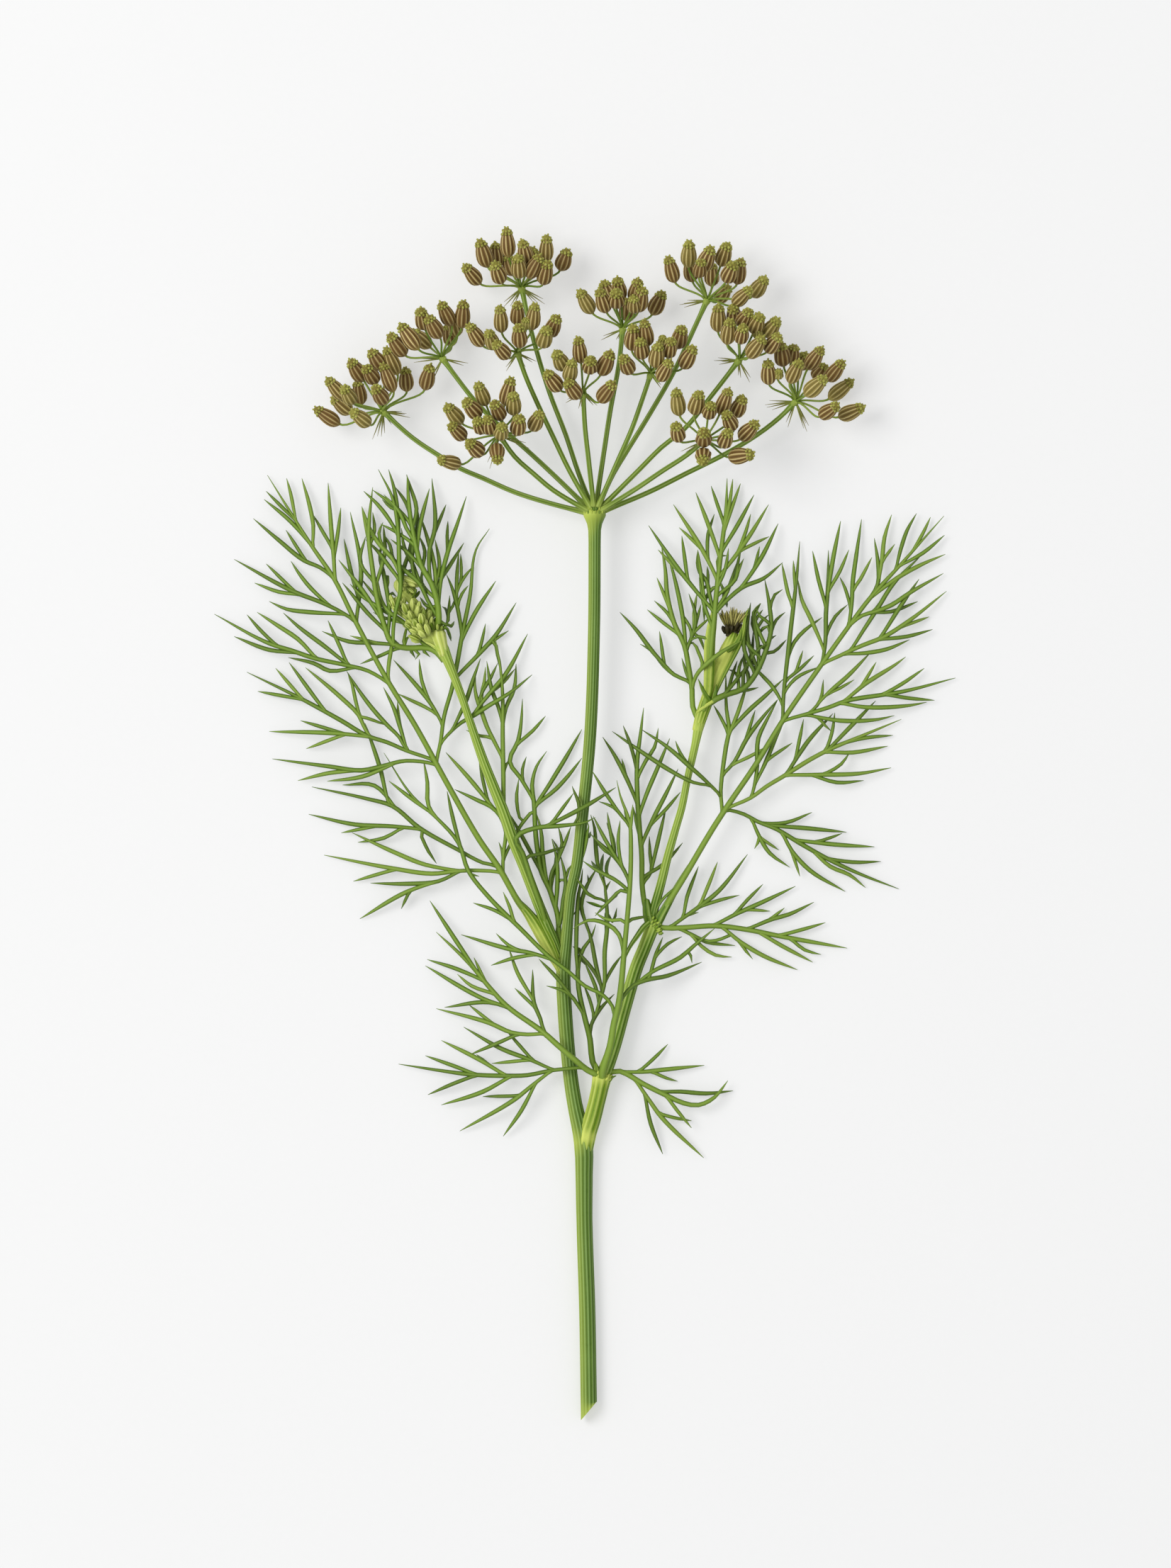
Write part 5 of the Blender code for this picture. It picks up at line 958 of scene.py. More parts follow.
    "right_low_leaf": """
10.8,-15.9,2.3 12.4,-16.3,2.3 15,-16.3,2 20.5,-16,1.4 25.5,-16.6 30.5,-17.6 41.1,-19.5
  20.5,-16 24,-14 28,-12.2 33,-9.8
    23.8,-14.1 25.5,-11.9 27.9,-9.5
    25.8,-13.4 29,-13.7
  25.8,-16.6 29.5,-14.9 32,-14.2 35.9,-12.3
    29.3,-15 31.3,-13.2
  30.7,-17.6 34,-16.6 37.7,-15.5
  27.5,-17 31,-19.2 35.7,-21.7
  32.6,-18 34.5,-19.8 37,-20.5
  21.8,-16.2 24.5,-18.6 28,-20.7 33.3,-22.9
    24.5,-18.6 25.3,-20 26.3,-21.2
    23.6,-17.7 21.5,-18 19.5,-18.4 17.8,-17.8,2
  13.6,-16 15.6,-14.6 18.3,-12.7 21,-10.5 25.5,-4.8
    18.3,-12.7 19.2,-10 20.8,-6
    18.2,-12.8 21,-12 24.2,-11.2
    15.8,-14.5 16,-11.5 17.8,-6.7
    16.6,-14 17.8,-13.9
  15,-16.2 16.8,-17.4 19,-18.5,0.7 23.5,-19.1,0.5
    17,-17.5 18.3,-19.2 20.5,-20.6 23,-20.9
""",
    "right_frond": """
17.8,16.2,2.8 16.9,18.4,2.4 16.8,21,2.4 16.2,25,2 15.6,28,1.8 14,31.5,1.4 12.9,36 12.6,40 12,43.7
  16.6,22.6 14,23.4 12.4,24.8 10.5,27.1 8.7,28.2
    13.4,23.8 10.8,26.8 8,30.5 5.5,33.2
    12.4,25.2 11.7,30.2
  16.6,22 15.8,24 15.2,26
  16.8,21.6 17.4,23.2,3.6 19.3,25.3,5.5 21.2,26.8,5.4 22.8,27.8,4.8 24.8,28.9,4
    18.7,24.9 17.8,26.9 16.9,28.4 16.2,28.2
  15.8,27.6 17,30 17.4,32.5 16.3,36.1
    17.3,31.4 18.2,34.4
    17.3,31 17.1,33 17.6,36.3
    17.3,30.6 18,29.2 18.7,27.2
    16.9,29.9 16.4,31 15.4,32.6 14.9,34
    17.2,30.4 19.6,32.4
  14.6,30 12.5,31.4 9.8,33.6
  14.2,31 13,33 10.9,35
  13.4,33.8 12.4,36 11.3,38.6
  15.7,27.4 15.4,32 14.2,38 13,42.4
""",
    "right_frond_tall": """
18.5,17.8,3.8 19.2,20.8,4 19.6,24,4.5 19.8,28,4.7 20.2,32,4.5 20.8,38,3.6 21.5,44,2.8 22.1,49,2
+22.3,54.2,1.2
  22,47 22.7,50.5 23.2,54.1
  21.9,46 23,49.5 24.4,53.4
  21.9,47.3 20.8,50 19.8,53
  21.5,43 24,47 26.5,51.6
  21.3,42 19.5,46.5 17.4,52
  20.6,38.6 18.4,43 13.9,50.1
    18.2,43.4 16.6,44.8 14.8,46.5
    19.2,41.8 19.3,45.4 20.3,48.6
  20.3,33.4 24.5,37 28,38.5 31,41,2
    24.8,37.2 27.5,41.5 30.3,47.1
      26.8,40.4 27.4,43.5
  21,39 23.8,42.3 26,45.5 28.8,50.1
    24.2,42.8 25.2,45.8 26,48.6
    24.4,43 26.6,44 28.9,45.1
  20.9,33.9 21.9,35.6 22.9,38 23.8,41
    21.9,35.8 21.6,37 21,38.2
    22,36 22.1,34.9 22.3,34
  23.4,35.9 23.6,38.4 24,41 24.5,43.2
    23.9,39.4 24.4,40.6 24.9,41.6
  20.1,33.2 19.5,36 19.1,38 18,39.5 17.6,41 17.7,42.9
    19.2,38 19.3,39 19.2,40.4
    19.1,38 18.6,37 18.1,36
  18.9,38 18.95,35.4 18.7,31.8
  20.1,40.1 21,41.9 22.3,42.1
  20.9,37.4 22,40 22.5,43.2,3.4
  20.2,33.6 17.5,36.4 14.5,40.2 10,46.8
    15.6,38.8 13.6,40.8 11.5,43
    15.9,38.5 15.6,42 15.2,45.2
    18.6,35.4 18.2,39 17.7,43
  20.1,31 18.6,34.6 17.9,38.6,3.6
  20,29 17.8,29.4,4.4 16.4,28.6,4
""",
    "right_bud_frond": """
19.4,18.8,3.6 20.6,19.6,4.2 22.5,20.4,3.4 24.8,21.2,2.8 26.8,23.6,2.6 28.3,27,2.6 29.2,30.5 28.9,34.5
+28.2,38.4
  28.9,34.2 29.8,36 31,36.8
  29.2,30 30,32 31.4,33.2
  28.4,27.4 29.6,27 31.6,28.9
  28.5,28 27.6,27.9 26.8,27.8
    28,28 28.8,28.8 30,29.6
  28.9,29.4 28.7,31 27.3,29.9 26.9,28.6
  27.3,24.6 26,27 25.4,30,3 26,34.7
    25.4,30.4 24.9,32.6 25.4,33.5
  28.6,28 27.2,30.4 26.6,32.6 27.6,34.6
  28,26.2 25.6,28,3.4 24.8,31
  26.9,24 25.8,25.2 25,27.2 24.9,29.4 25.6,32.3,3.4
    25,28.4 24.4,29.8 24.6,31.6
  27.4,24.8 27.2,26.6 27.1,28.4 26.6,31 26.4,33.2 27.5,34.6
    26.7,30.6 27.8,31.9 28.9,32.9
    26.5,31.8 27.2,32.7 27.9,33.6
    26.8,30 26.2,31.4 26.1,32.6
  25.2,21.6 24.8,23.6 25.9,25.8 26.3,28 26.4,30.2
    25.6,25 25.6,23.6 26,22.2
    26,26.2 26.8,25 27.8,24.4
  24.6,21.2 24,22.6 24.2,24.6 25,26.6
    24.1,23.6 23.2,24 22.6,24.2
  26,22.6 25,25.4 25.1,28
    25.1,24.6 26.6,26.8 28.6,28.4,3.6
  24.2,21 25.6,21 27.2,21.4
  22,20.2 23.6,22.4,3.2 25.2,24.6
    22.8,21.2 23.2,23.6 23.9,25.6
  29.1,31.8 27.4,32.6 26.8,33.8,3.4
""",
    "left_frond": """
-22.1,25.6,2.6 -23.2,26.9,2 -24.6,27.6,1.4 -28,27.6,1.6 -30.2,28.3,2.6 -31.4,31,2.4 -32.6,35.4,2.6
+-33.3,40,2.6 -33.9,45,2.4 -33.8,48,2 -33.3,52.8
  -29.4,27.8 -32.5,26.2,2.5 -35.2,25.1,2.2
  -27.6,27.7 -26,26.6 -26.6,25.8,1.6
  -30.2,28.2 -33.5,28.4,2.6 -37,28.6,2.4 -41.2,30.2,2.2
    -33,28.4 -36.8,29.5,2.6
  -31.3,30.6 -34,33 -38,37.8,2.6
  -31.8,32.2 -35,36.8 -38.6,41.4,2.4
  -32.4,34.4 -34.8,35.6,2.8 -36.8,37.6,2.6
  -33,37.6 -31.4,42.4 -31.6,46.9
  -33.1,38.4 -35.2,41 -34.4,45,3
  -33.8,44.2 -34.4,47 -35,49.7
  -33.9,44 -33,46 -33.3,48.9
  -30.4,28.4 -30,31 -29.6,33.6 -28.9,36.5,4.6 -29.1,41,4.6 -29.2,45,4.2 -29.5,48,3.6 -30.2,51.2,3
+-32.4,55.6,1.6
    -29.3,45.6 -30.6,47.6 -32.6,50.2 -34.7,52.2
    -29.4,44 -29.3,48 -29.9,52.5 -30.8,55.6
    -29.1,39.5 -30.3,41.8 -32,43.6 -33.5,45.8 -35,49.8
      -31.9,43.5 -32.3,45.6 -31.7,47.3
    -29,38.4 -31,40.8 -32.6,42.9 -34.4,44.6
    -29.1,37.2 -28.4,40 -27.6,42.6 -27.2,45.6
  -30.6,30.2 -30.6,33 -30.9,35.6 -31.6,39.4 -32.2,42.4 -31.2,45
    -31,36.4 -30.2,36.2 -29.5,35.6
    -31.2,37.6 -30.9,38.8 -31.8,39.2
  -24.6,27.8 -26,28.8,2.2 -27.2,30.2 -28.2,31.4 -30.4,33,3.2 -32.5,35.3 -35.3,38.7
    -29.8,32.6 -32.2,33.8 -34.3,35.3
    -28.8,31.8 -31.4,32.3 -33.2,33.2
    -31.6,34.4 -32.2,36 -32.5,38.4
  -28.8,27.8 -28.2,29.8 -27.8,31.4
    -28.6,28.6 -28,29 -27.3,29.8
  -26,27.8 -25.2,27 -24.3,26.2
  -29.2,27.9 -30,28.8 -31,29.3
  -27.9,27.6 -27.2,27 -26.6,26
""",
    "left_frond_tall": """
-22.9,31.5,5.2 -23,34,5.4 -24,37.6,5.2 -25.6,40.4,4.8 -26.6,44,4.2 -27.4,48.4,3.4 -27.9,54.7,1.8
  -23.7,32.6 -24.6,35,4.6 -26,37.8,4.6 -28.3,39.8,4.2 -30.3,41.7,4 -32.4,44,3.6 -34,46.6,3
    -27,38.8 -27.1,41.5 -26.7,44.6,3.6 -26.2,47.5 -26.4,50.2
    -26,38 -26.9,40.5 -28.3,43.3 -28.8,46.4
    -28.4,40 -27.6,39.6 -26.6,40
    -30.4,41.8 -30.6,43.8 -31.6,45.4
  -26.2,46.8 -26.4,49.4 -27.3,52.6 -28,54.8
  -27.3,48.8 -28,50.2 -29.7,52.8
  -27,47.2 -28.4,48.4 -30.2,50.1 -33.3,52.4
    -29.2,49.4 -30.4,49.6 -31.8,50.9
  -23.2,36.4 -23.5,39.8 -24.3,43.4 -25.9,48.6
  -23.4,35.6 -24.8,36.6 -25.6,37.8 -25.4,40.4
  -25.3,40.6 -25.1,42.8 -26,45.2
  -23,34.6 -24,34 -24.8,34.2 -25.9,35.6
  -22.8,32.6 -21.8,31.2 -21.4,33 -21.2,35.8,2.4
    -21.5,32.6 -21.9,33.8 -22.4,34.1
    -21.6,31.8 -21,31 -20.5,31.8
    -21.7,31.4 -21.3,29.8 -21,28.7
    -21.3,33.6 -20.7,34.2 -20.5,35.2
  -26.7,44.6 -28,46.4 -29,48.8 -31.5,51.6,3.2
  -26.4,43.2 -25.8,47 -24.4,52.6
  -24.4,38.4 -24.4,42.6 -23.5,46.5 -24,54.2
    -23.8,45.4 -22.8,47.6 -21.8,50.1
  -23.6,36.4 -22.7,38.1 -21.2,40.5 -19,44.1
  -23,34 -22.6,38 -21.5,42.6 -19.9,47.4 -18.6,51.4
    -21.4,43 -21.6,45.2 -21.5,47.5
  -23.9,37.2 -22.8,40.4 -23.5,44.6
  -25.4,40 -27.6,42.4 -30.4,44.6,4
  -26.6,44 -29,45.4,4.6 -32,47,4.6
""",
}


threads = {
    "radius": 0.31,        # of a full thread
    "tipRadius": 0.04,
    "thickest": 1.15,      # a thread's foot, at most, against a full thread
    "footShare": 0.80,     # a thread's foot against the run it leaves
    "petiole": 0.50,       # of the leaf's own stalk
    "tipHeight": 0.55,     # of a tip's middle above the ground
    "tipChange": (-0.2, 0.5),
    "arch": 0.05,          # the most a thread rises, against its length
    "floorGap": 0.04,
    "toneChange": 0.35,
    "stalkTone": 0.2,
    "spacing": 1.1,        # between rings
    "setBack": 0.7,        # how far down its parent a thread starts
}
# how thick a leaf's own stalk is, where it isn't the usual
stalkSize = {"center_leaf": 1.2, "lower_right_leaf": 0.85, "left_center_leaf": 0.85, "cross_leaf": 0.85,
             "right_center_leaf": 0.85, "right_low_leaf": 0.85, "right_frond": 0.85}
# painted shade: how much darker the leaves in the middle and behind the bud are drawn, for the shade among
# the crowded threads
paintedCrowdShade = {"middle_leaf": 0.5, "cross_leaf": 0.4, "right_center_leaf": 0.3, "right_bud_frond": 0.55,
             "left_center_leaf": 0.25, "left_frond_tall": 0.15}


def readOutline(text):
    # each run's depth in the outline and its points, with None where no height is given
    branches = []
    for line in text.strip("\n").replace("\n+", " ").splitlines():
        depth = (len(line) - len(line.lstrip())) // 2
        branches.append((depth, [point + [None] * (3 - len(point)) for point in readPoints(line)]))
    return branches


def nearestOn(run, point):
    # where on a run of points and radii a place lies in plan: position, radius and heading there
    place = Vector(point[:2])
    best = None
    for (first, firstRadius), (second, secondRadius) in zip(run, run[1:]):
        share = min(1.0, max(0.0, geometry.intersect_point_line(place, first.xy, second.xy)[1]))
        found = first.lerp(second, share)
        gap = (found.xy - place).length
        if best is None or gap < best[0]:
            best = (gap, found, firstRadius + (secondRadius - firstRadius) * share,
                    (second - first).normalized())
    return best[1:]


def fillHeights(points):
    # heights between the given ones change evenly with the distance in plan
    travelled = [0.0]
    for first, second in zip(points, points[1:]):
        travelled.append(travelled[-1] + math.dist(first[:2], second[:2]))
    known = [(distance, point[2]) for distance, point in zip(travelled, points) if point[2] is not None]
    for distance, point in zip(travelled, points):
        if point[2] is None:
            point[2] = valueAlong(known, distance)


def threadRadii(length, startRadius, leaving):
    # narrow foot, full middle and a long point
    full = threads["radius"] * min(1.2, 0.68 + length / 24)
    if leaving:
        middle = [(min(0.4, 0.8 / length), startRadius), (0.45, full), (0.66, full * 0.92),
                  (0.86, full * 0.58), (0.96, full * 0.26)]
    else:
        middle = [(0.5, full * 1.1), (0.8, full * 0.94), (0.92, full * 0.6)]
    return [(0.0, startRadius), *middle, (1.0, threads["tipRadius"])]


def paintedTopLight(angle, share):
    # round below, painted lighter along the top of the thread and darker at its sides: painted light and
    # shade
    top = max(0.0, math.sin(angle))
    return 1.0 + 0.06 * top ** 4, 0.08 + 0.92 * top ** 1.5


def growLeaf(name, text):
    shape, marks = newShape()
    chance = random.Random(name)
    parents = []
    for depth, points in readOutline(text):
        del parents[depth:]
        heading = None
        startRadius = threads["petiole"] * stalkSize.get(name, 1.0)
        if parents:
            root, radius, heading = nearestOn(parents[-1], points[0])
            points[0] = list(root - heading * threads["setBack"])
            startRadius = min(threads["radius"] * threads["thickest"], radius) * threads["footShare"]
        if points[-1][2] is None:
            points[-1][2] = threads["tipHeight"] + chance.uniform(*threads["tipChange"])
        fillHeights(points)
        curve = smoothPath([Vector(point) for point in points], heading, threads["spacing"])
        shares, length = pathShares(curve)
        arch = chance.uniform(0.0, threads["arch"]) * length
        stops = threadRadii(length, startRadius, bool(parents))
        run = []
        for point, share in zip(curve, shares):
            radius = valueAlong(stops, share)
            point = point + upward * arch * math.sin(math.pi * share)
            point.z = max(point.z, radius + threads["floorGap"])
            run.append((point, radius))
        change = threads["toneChange"]
        tone = chance.uniform(-change, change) if parents else threads["stalkTone"]
        sweepRun(shape, marks, run, 8, paintedTopLight, tone - paintedCrowdShade.get(name, 0.0),
                 span=(0.15, 1.0) if parents else (0.0, 0.75), endCap=2.0)
        parents.append(run)
    return shape


def buildLeaves():
    for name, text in leafOutlines.items():
        placePiece(f"{name}_threads", growLeaf(name, text), skins["leaf"], "leaf_green", name)
    print("leaves built:", len(leafOutlines))



# Umbellets: where the ray ends, its tier at the hub, the ray's way there, the tips of the bracts, and
# for each seed its foot and its crown in plan, with a size where it is a small one.
umbellets = [
    {"end": (-31.6, 64.6, 4.6), "tier": "low",
     "route": "-5.3,50.2 -11,52 -16,54.2 -19.5,55.7 -22.5,57.5 -27,60.5",
     "bracts": "-28.2,64.2 -27.4,63.7 -33.3,60.3 -31.9,60.7 -30.3,62.6",
     "seeds": """
-38.4,62.6 -42.3,65.1
-33.6,62.4 -36.5,64.6
-36.6,64.4 -39.6,66.9
-37.6,66.6 -40.4,69.8
-36.2,65.8 -37.8,68.4
-35.1,65.7 -35.7,69.6
-34.6,69.4 -36.8,72.6
-32.6,69.0 -34.4,71.6
-31.6,71.2 -33.6,74.2
-31.2,65.8 -32.9,68.4
-29.9,67.6 -31.7,72.0
-27.9,67.8 -28.2,71.5
-29.3,70.4 -31.2,74.6
-25.1,68.0 -24.2,71.9
"""},
    {"end": (-22.3, 72.9, 6.2), "tier": "low",
     "route": "-5,54.8 -9,58.5 -13,62 -17.5,66.6 -20,69.8",
     "bracts": "-18.3,72.2 -26.8,72.3 -23.8,69.5",
     "seeds": """
-28.1,73.3 -30.6,76.6
-26.0,74.2 -28.9,78.2
-24.2,74.7 -27.0,77.4
-22.6,76.0 -24.6,79.4
-25.0,77.4 -25.8,80.6
-20.9,74.9 -21.5,78.4
-20.8,78.0 -22.6,81.6
-19.3,77.6 -19.0,81.8
-20.0,76.4 -20.9,79.8
"""},
    {"end": (-9.9, 84.0, 4.6), "tier": "low",
     "route": "-1,55 -3,61 -5.5,67.5 -7.8,75 -9,79.8",
     "bracts": "-12.8,81 -11.7,81.2 -6.3,81.5 -7.5,81.8",
     "seeds": """
-16.4,84.6 -18.9,87.5
-15.2,87.2 -16.5,91.5
-13.7,87.1 -14.1,91.2
-13.0,84.6 -14.2,87.8
-11.9,88.7 -12.3,93.3
-11.2,86.0 -12.4,89.3
-10.2,85.4 -10.5,88.9
-9.0,87.4 -9.8,91.3
-7.8,86.4 -8.2,90.4
-6.1,88.0 -6.0,92.1
-6.6,84.4 -5.8,88.0
-3.9,86.7 -2.7,90.0
-8.9,85.4 -7,89
"""},
    {"end": (-10.5, 73.7, 9.0), "tier": "high",
     "route": "-2.5,55.5 -5,60.7 -7.5,66 -9.4,70.4",
     "bracts": "-7.6,72.4 -12.3,70.9 -9.5,71",
     "seeds": """
-15.9,74.7 -18.2,78.1
-14.1,74.2 -15.1,77.0
-11.9,72.8 -14.1,75.2
-13.0,76.8 -13.3,80.9
-10.1,74.4 -10.4,77.9
-10.6,78.0 -10.5,81.5
-8.3,77.2 -7.8,81.3
-6.7,74.5 -5.9,77.5
-5.6,76.2 -4.3,79.4
-9.2,77.3 -9.2,79 0.5
"""},
    {"end": (-13.3, 60.7, 9.6), "tier": "high",
     "route": "-5,52.3 -8,54.8 -11,57.5",
     "bracts": "-8.7,58.8 -14.9,55.6 -14.9,58.5",
     "seeds": """
-19.2,62.6 -21.7,65.5
-18.7,60.2 -21.1,62.5
-16.4,63.6 -18.8,66.2
-15.4,65.4 -16.8,68.9
-15.9,61.2 -16.9,63.1
-14.7,61.0 -15.3,63.5
-12.9,63.2 -14.3,65.9
-12.6,65.4 -11.5,69.7
-11.1,63.9 -11.2,67.3
-10.6,60.8 -10.2,63.7
-8.3,61.5 -6.9,64.4
-13.2,60.2 -12.9,62.3
-16.0,57.7 -18.3,59.7
-13.8,59.4 -13.6,56.4
-19.4,56.2 -22.9,57.0
"""},
    {"end": (-0.3, 67.4, 9.8), "tier": "high",
     "route": "0.5,57.5 0,62",
     "bracts": "-3,65.9 -1,65 1.9,65.5",
     "seeds": """
-3.8,67.7 -6.1,70.6
-0.9,66.5 -2.9,69.2
-2.6,69.0 -1.9,72.4
-3.1,71.0 -4.6,73.7
-0.6,72.0 -1.1,76.0
2.4,70.1 4.1,73.8
0.7,70.6 0.9,72.6
2.2,65.9 4.5,69.0
"""},
    {"end": (5.9, 77.5, 5.6), "tier": "low",
     "route": "3,58.5 4,65 5.3,72",
     "bracts": "2.5,75.8 4.9,75.9",
     "seeds": """
1.2,79.9 -0.9,83.5
3.4,80.0 2.2,83.6
4.0,82.0 2.9,85.1
5.6,82.0 5.0,85.4
4.9,80.9 4.9,83.3
6.5,78.9 6.6,82.4
8.3,80.1 9.1,83.9
7.7,81.6 8.3,85.2
10.5,79.8 12.2,83.4
7.8,80 7.6,82.5 0.8
"""},
    {"end": (19.1, 82.0, 4.6), "tier": "low",
     "route": "4.5,55 6,57.5 10,64 14,71 17.5,78.5",
     "bracts": "14.8,81.4 15.5,81.6",
     "seeds": """
14.1,84.8 13.0,88.8
16.2,87.2 16.3,91.3
16.9,85.0 16.2,88.6
18.2,86.4 19.8,90.3
21.2,87.4 22.3,90.9
19.9,84.3 19.9,88.0
23.8,84.5 24.4,88.4
22.0,84.8 23.3,87.8
20.7,81.9 22.6,84.4
23.2,81.2 25.9,83.8
26.2,82.6 28.3,85.6
17.8,85.6 18.2,88.2 0.8
"""},
    {"end": (10.3, 70.4, 9.2), "tier": "high",
     "route": "5,56.5 7.4,62 9,66.5",
     "bracts": "11.9,68.2",
     "seeds": """
7.2,70.4 5.9,73.0
7.3,74.0 7.6,77.9
9.9,74.7 9.2,78.7
9.0,72.7 8.6,75.7
11.0,71.3 11.4,75.0
13.0,72.9 13.5,75.8
14.4,74.4 15.2,77.7
15.2,71.2 17.0,74.6
11.6,69.2 13.3,72.4
12.2,75 12.1,76.1 0.4
"""},
    {"end": (24.1, 72.6, 6.2), "tier": "mid",
     "route": "8.5,55.5 12,59 15.5,61.8 20,67.3",
     "bracts": "20.2,72.6 21,72 24.4,69.9 25.8,69.2",
     "seeds": """
20.8,77.0 20.9,81.3
22.2,75.0 22.7,78.9
23.5,78.6 23.1,81.0
24.2,75.2 24.8,77.9
24.2,77.8 25.8,80.4
25.5,72.9 27.9,76.2
26.3,76.8 27.4,79.7
28.2,76.3 30.2,79.0
28.4,73.8 30.4,76.5
27,76 27,77.6 0.45
"""},
    {"end": (33.0, 66.2, 4.6), "tier": "low",
     "route": "10,52 16,55 22,58 27,61 30.5,63.7",
     "bracts": "28.2,65.7 28.5,65.3 31.8,62.2 34.8,61.5 34.3,62",
     "seeds": """
28.8,68.8 28.6,72.5
31.1,71.7 30.6,75.3
32.2,72.2 32.8,75.0
32.0,69.0 33.6,72.5
34.8,71.2 37.1,74.6
33.6,71.2 34.6,73.9
34.4,67.0 37.6,69.9
38.0,69.4 40.4,72.5
38.2,66.6 42.0,69.6
36.7,63.7 39.6,65.6
39.7,63.7 43.7,65.4
36.0,69.6 37.7,72.0
30.1,69.8 30.4,71 0.45
"""},
    {"end": (18.5, 59.9, 9.6), "tier": "high",
     "route": "8,52.5 12,55.2 16,57.8",
     "bracts": "15,58.3 15.9,58",
     "seeds": """
14.8,63.8 14.2,67.9
17.0,64.0 17.9,67.5
19.2,63.5 19.7,65.6
21.0,64.0 22.5,68.0
23.4,63.7 24.7,66.8
23.3,61.6 21.9,64.3
14.8,59.8 14.1,62.5
18.5,59.2 18.6,61.4
21.5,58.9 22.4,61.4
24.2,60.1 26.9,62.8
18.5,58.4 18.4,56.4
22.4,57.3 26.3,57.8
"""},
]


hub = {"centre": Vector((1.5, 48.5, 5.0)), "rise": {"low": -0.51, "mid": 0.12, "high": 0.6},
       "radius": 0.41, "tipRadius": 0.39, "paleFoot": 3.2, "spacing": 1.3}
seedLook = {"length": 4.7, "width": 1.25, "flat": 0.86, "ribs": 10, "depth": 0.12, "ribEdge": 2.5,
            # the crown's knobs, row by row: how many, how far along, how far out and how thick
            "knobRows": [(9, 0.82, 0.66, 0.16), (7, 0.91, 0.50, 0.18)],
            "sizes": (0.92, 1.06), "tones": (-0.35, -0.2, 0.0, 0.0, 0.1, 0.22), "smallTone": 0.5,
            # the seed's girth along its length
            "outline": [(0.0, 0.16), (0.05, 0.46), (0.13, 0.78), (0.24, 0.98), (0.37, 1.04), (0.51, 1.0),
                        (0.65, 0.89), (0.77, 0.74), (0.86, 0.60), (0.93, 0.50), (0.985, 0.36)]}
stalkLook = {"length": 6.0, "radius": 0.165, "spread": 0.75, "lowTilt": 0.3, "floorGap": 0.3,
             "tones": (0.3, 0.4, 0.15, 0.0)}
bractLook = {"radii": [(0.0, 0.11), (0.45, 0.13), (1.0, 0.025)], "floorGap": 0.3, "rise": 0.25,
             "spacing": 0.6, "turn": 0.14, "shorter": 0.85}
# the bright little cushion where a ray ends: how far along it and how thick
cushion = [(-0.8, 0.42), (-0.35, 0.52), (0.0, 0.6), (0.3, 0.4)]


def buildRay(number, plan):
    end = Vector(plan["end"])
    start = hub["centre"] + upward * hub["rise"][plan["tier"]]
    flatWay = [start.xy, *map(Vector, readPoints(plan["route"])), end.xy]
    ways = [Vector((*spot, start.z + (end.z - start.z) * share))
            for spot, share in zip(flatWay, pathShares(flatWay)[0])]
    curve = smoothPath(ways, spacing=hub["spacing"])
    shares, length = pathShares(curve)
    stops = [(0.0, hub["radius"] * 1.5), (0.04, hub["radius"] * 1.3), (0.12, hub["radius"]),
             (0.94, hub["tipRadius"]), (1.0, hub["tipRadius"] * 1.3)]
    run = [(point, valueAlong(stops, share)) for point, share in zip(curve, shares)]
    shape, marks = newShape()
    sweepRun(shape, marks, run, 15, ridgeSection(5, 0.14, number),
             lambda share, angle: max(0.0, 1.0 - share * length / hub["paleFoot"]))
    placePiece(f"ray_{number:02d}_ribbed", shape, skins["ray"], "stem_green", f"ray_{number:02d}")
    return (run[-1][0] - run[-3][0]).normalized()


def addSeed(shape, marks, foot, crown, size, roll, tone, chance):
    # a plump husk with narrow pale ribs, a knobbly green shoulder and a two-lobed tip
    length = (crown - foot).length
    axis = (crown - foot).normalized()
    width = seedLook["width"] * size
    def husk(angle, share):
        wave = (0.5 + 0.5 * math.cos(seedLook["ribs"] * angle + roll)) ** seedLook["ribEdge"]
        fade = min(1.0, share * 6, max(0.0, (1.0 - share) * 5))
        return 1.0 - seedLook["depth"] * (1 - wave) * fade, 0.5 + (wave - 0.5) * fade
    path = [(foot + axis * length * share, width * girth) for share, girth in seedLook["outline"]]
    sweepRun(shape, marks, path, seedLook["ribs"] * 5, husk, tone, flat=seedLook["flat"])
    side = axis.cross(upward).normalized() if abs(axis.z) < 0.98 else Vector((1, 0, 0))
    lift = side.cross(axis)
    for count, place, girth, knob in seedLook["knobRows"]:
        for step in range(count):
            out = around(side, lift, roll + place * 9 + 2 * math.pi * step / count)
            near = foot + axis * length * (place + chance.uniform(-0.03, 0.02)) + out * width * girth
            sweepRun(shape, marks, [(near - axis * 0.12, width * knob), (near + axis * 0.14, width * knob)],
                     7, tone=chance.uniform(0.2, 1.0), span=(1.0, 1.0))
    out = around(side, lift, roll)
    for sign in (-1, 1):
        near = crown - axis * length * 0.03 + out * sign * width * 0.10
        far = crown + axis * length * 0.05 + out * sign * width * 0.30
        sweepRun(shape, marks, [(near, width * 0.16), (far, width * 0.13)], 7, tone=0.6, span=(1.0, 1.0))


def addStalk(shape, marks, knob, heading, base, axis, chance):
    # from the cushion out along the ray's way, and round into the seed's foot
    span = (base - knob).length
    start = ((base - knob).normalized() + heading * 0.3).normalized()
    way = geometry.interpolate_bezier(knob + start * 0.3, knob + start * span * 0.4,
                                      base - axis * span * 0.22, base + axis * 0.25, 9)
    girths = [1.35] + [1.0] * (len(way) - 2) + [1.25]
    sweepRun(shape, marks, [(point, stalkLook["radius"] * girth) for point, girth in zip(way, girths)],
             6, tone=chance.choice(stalkLook["tones"]), span=(0.1, 0.7))


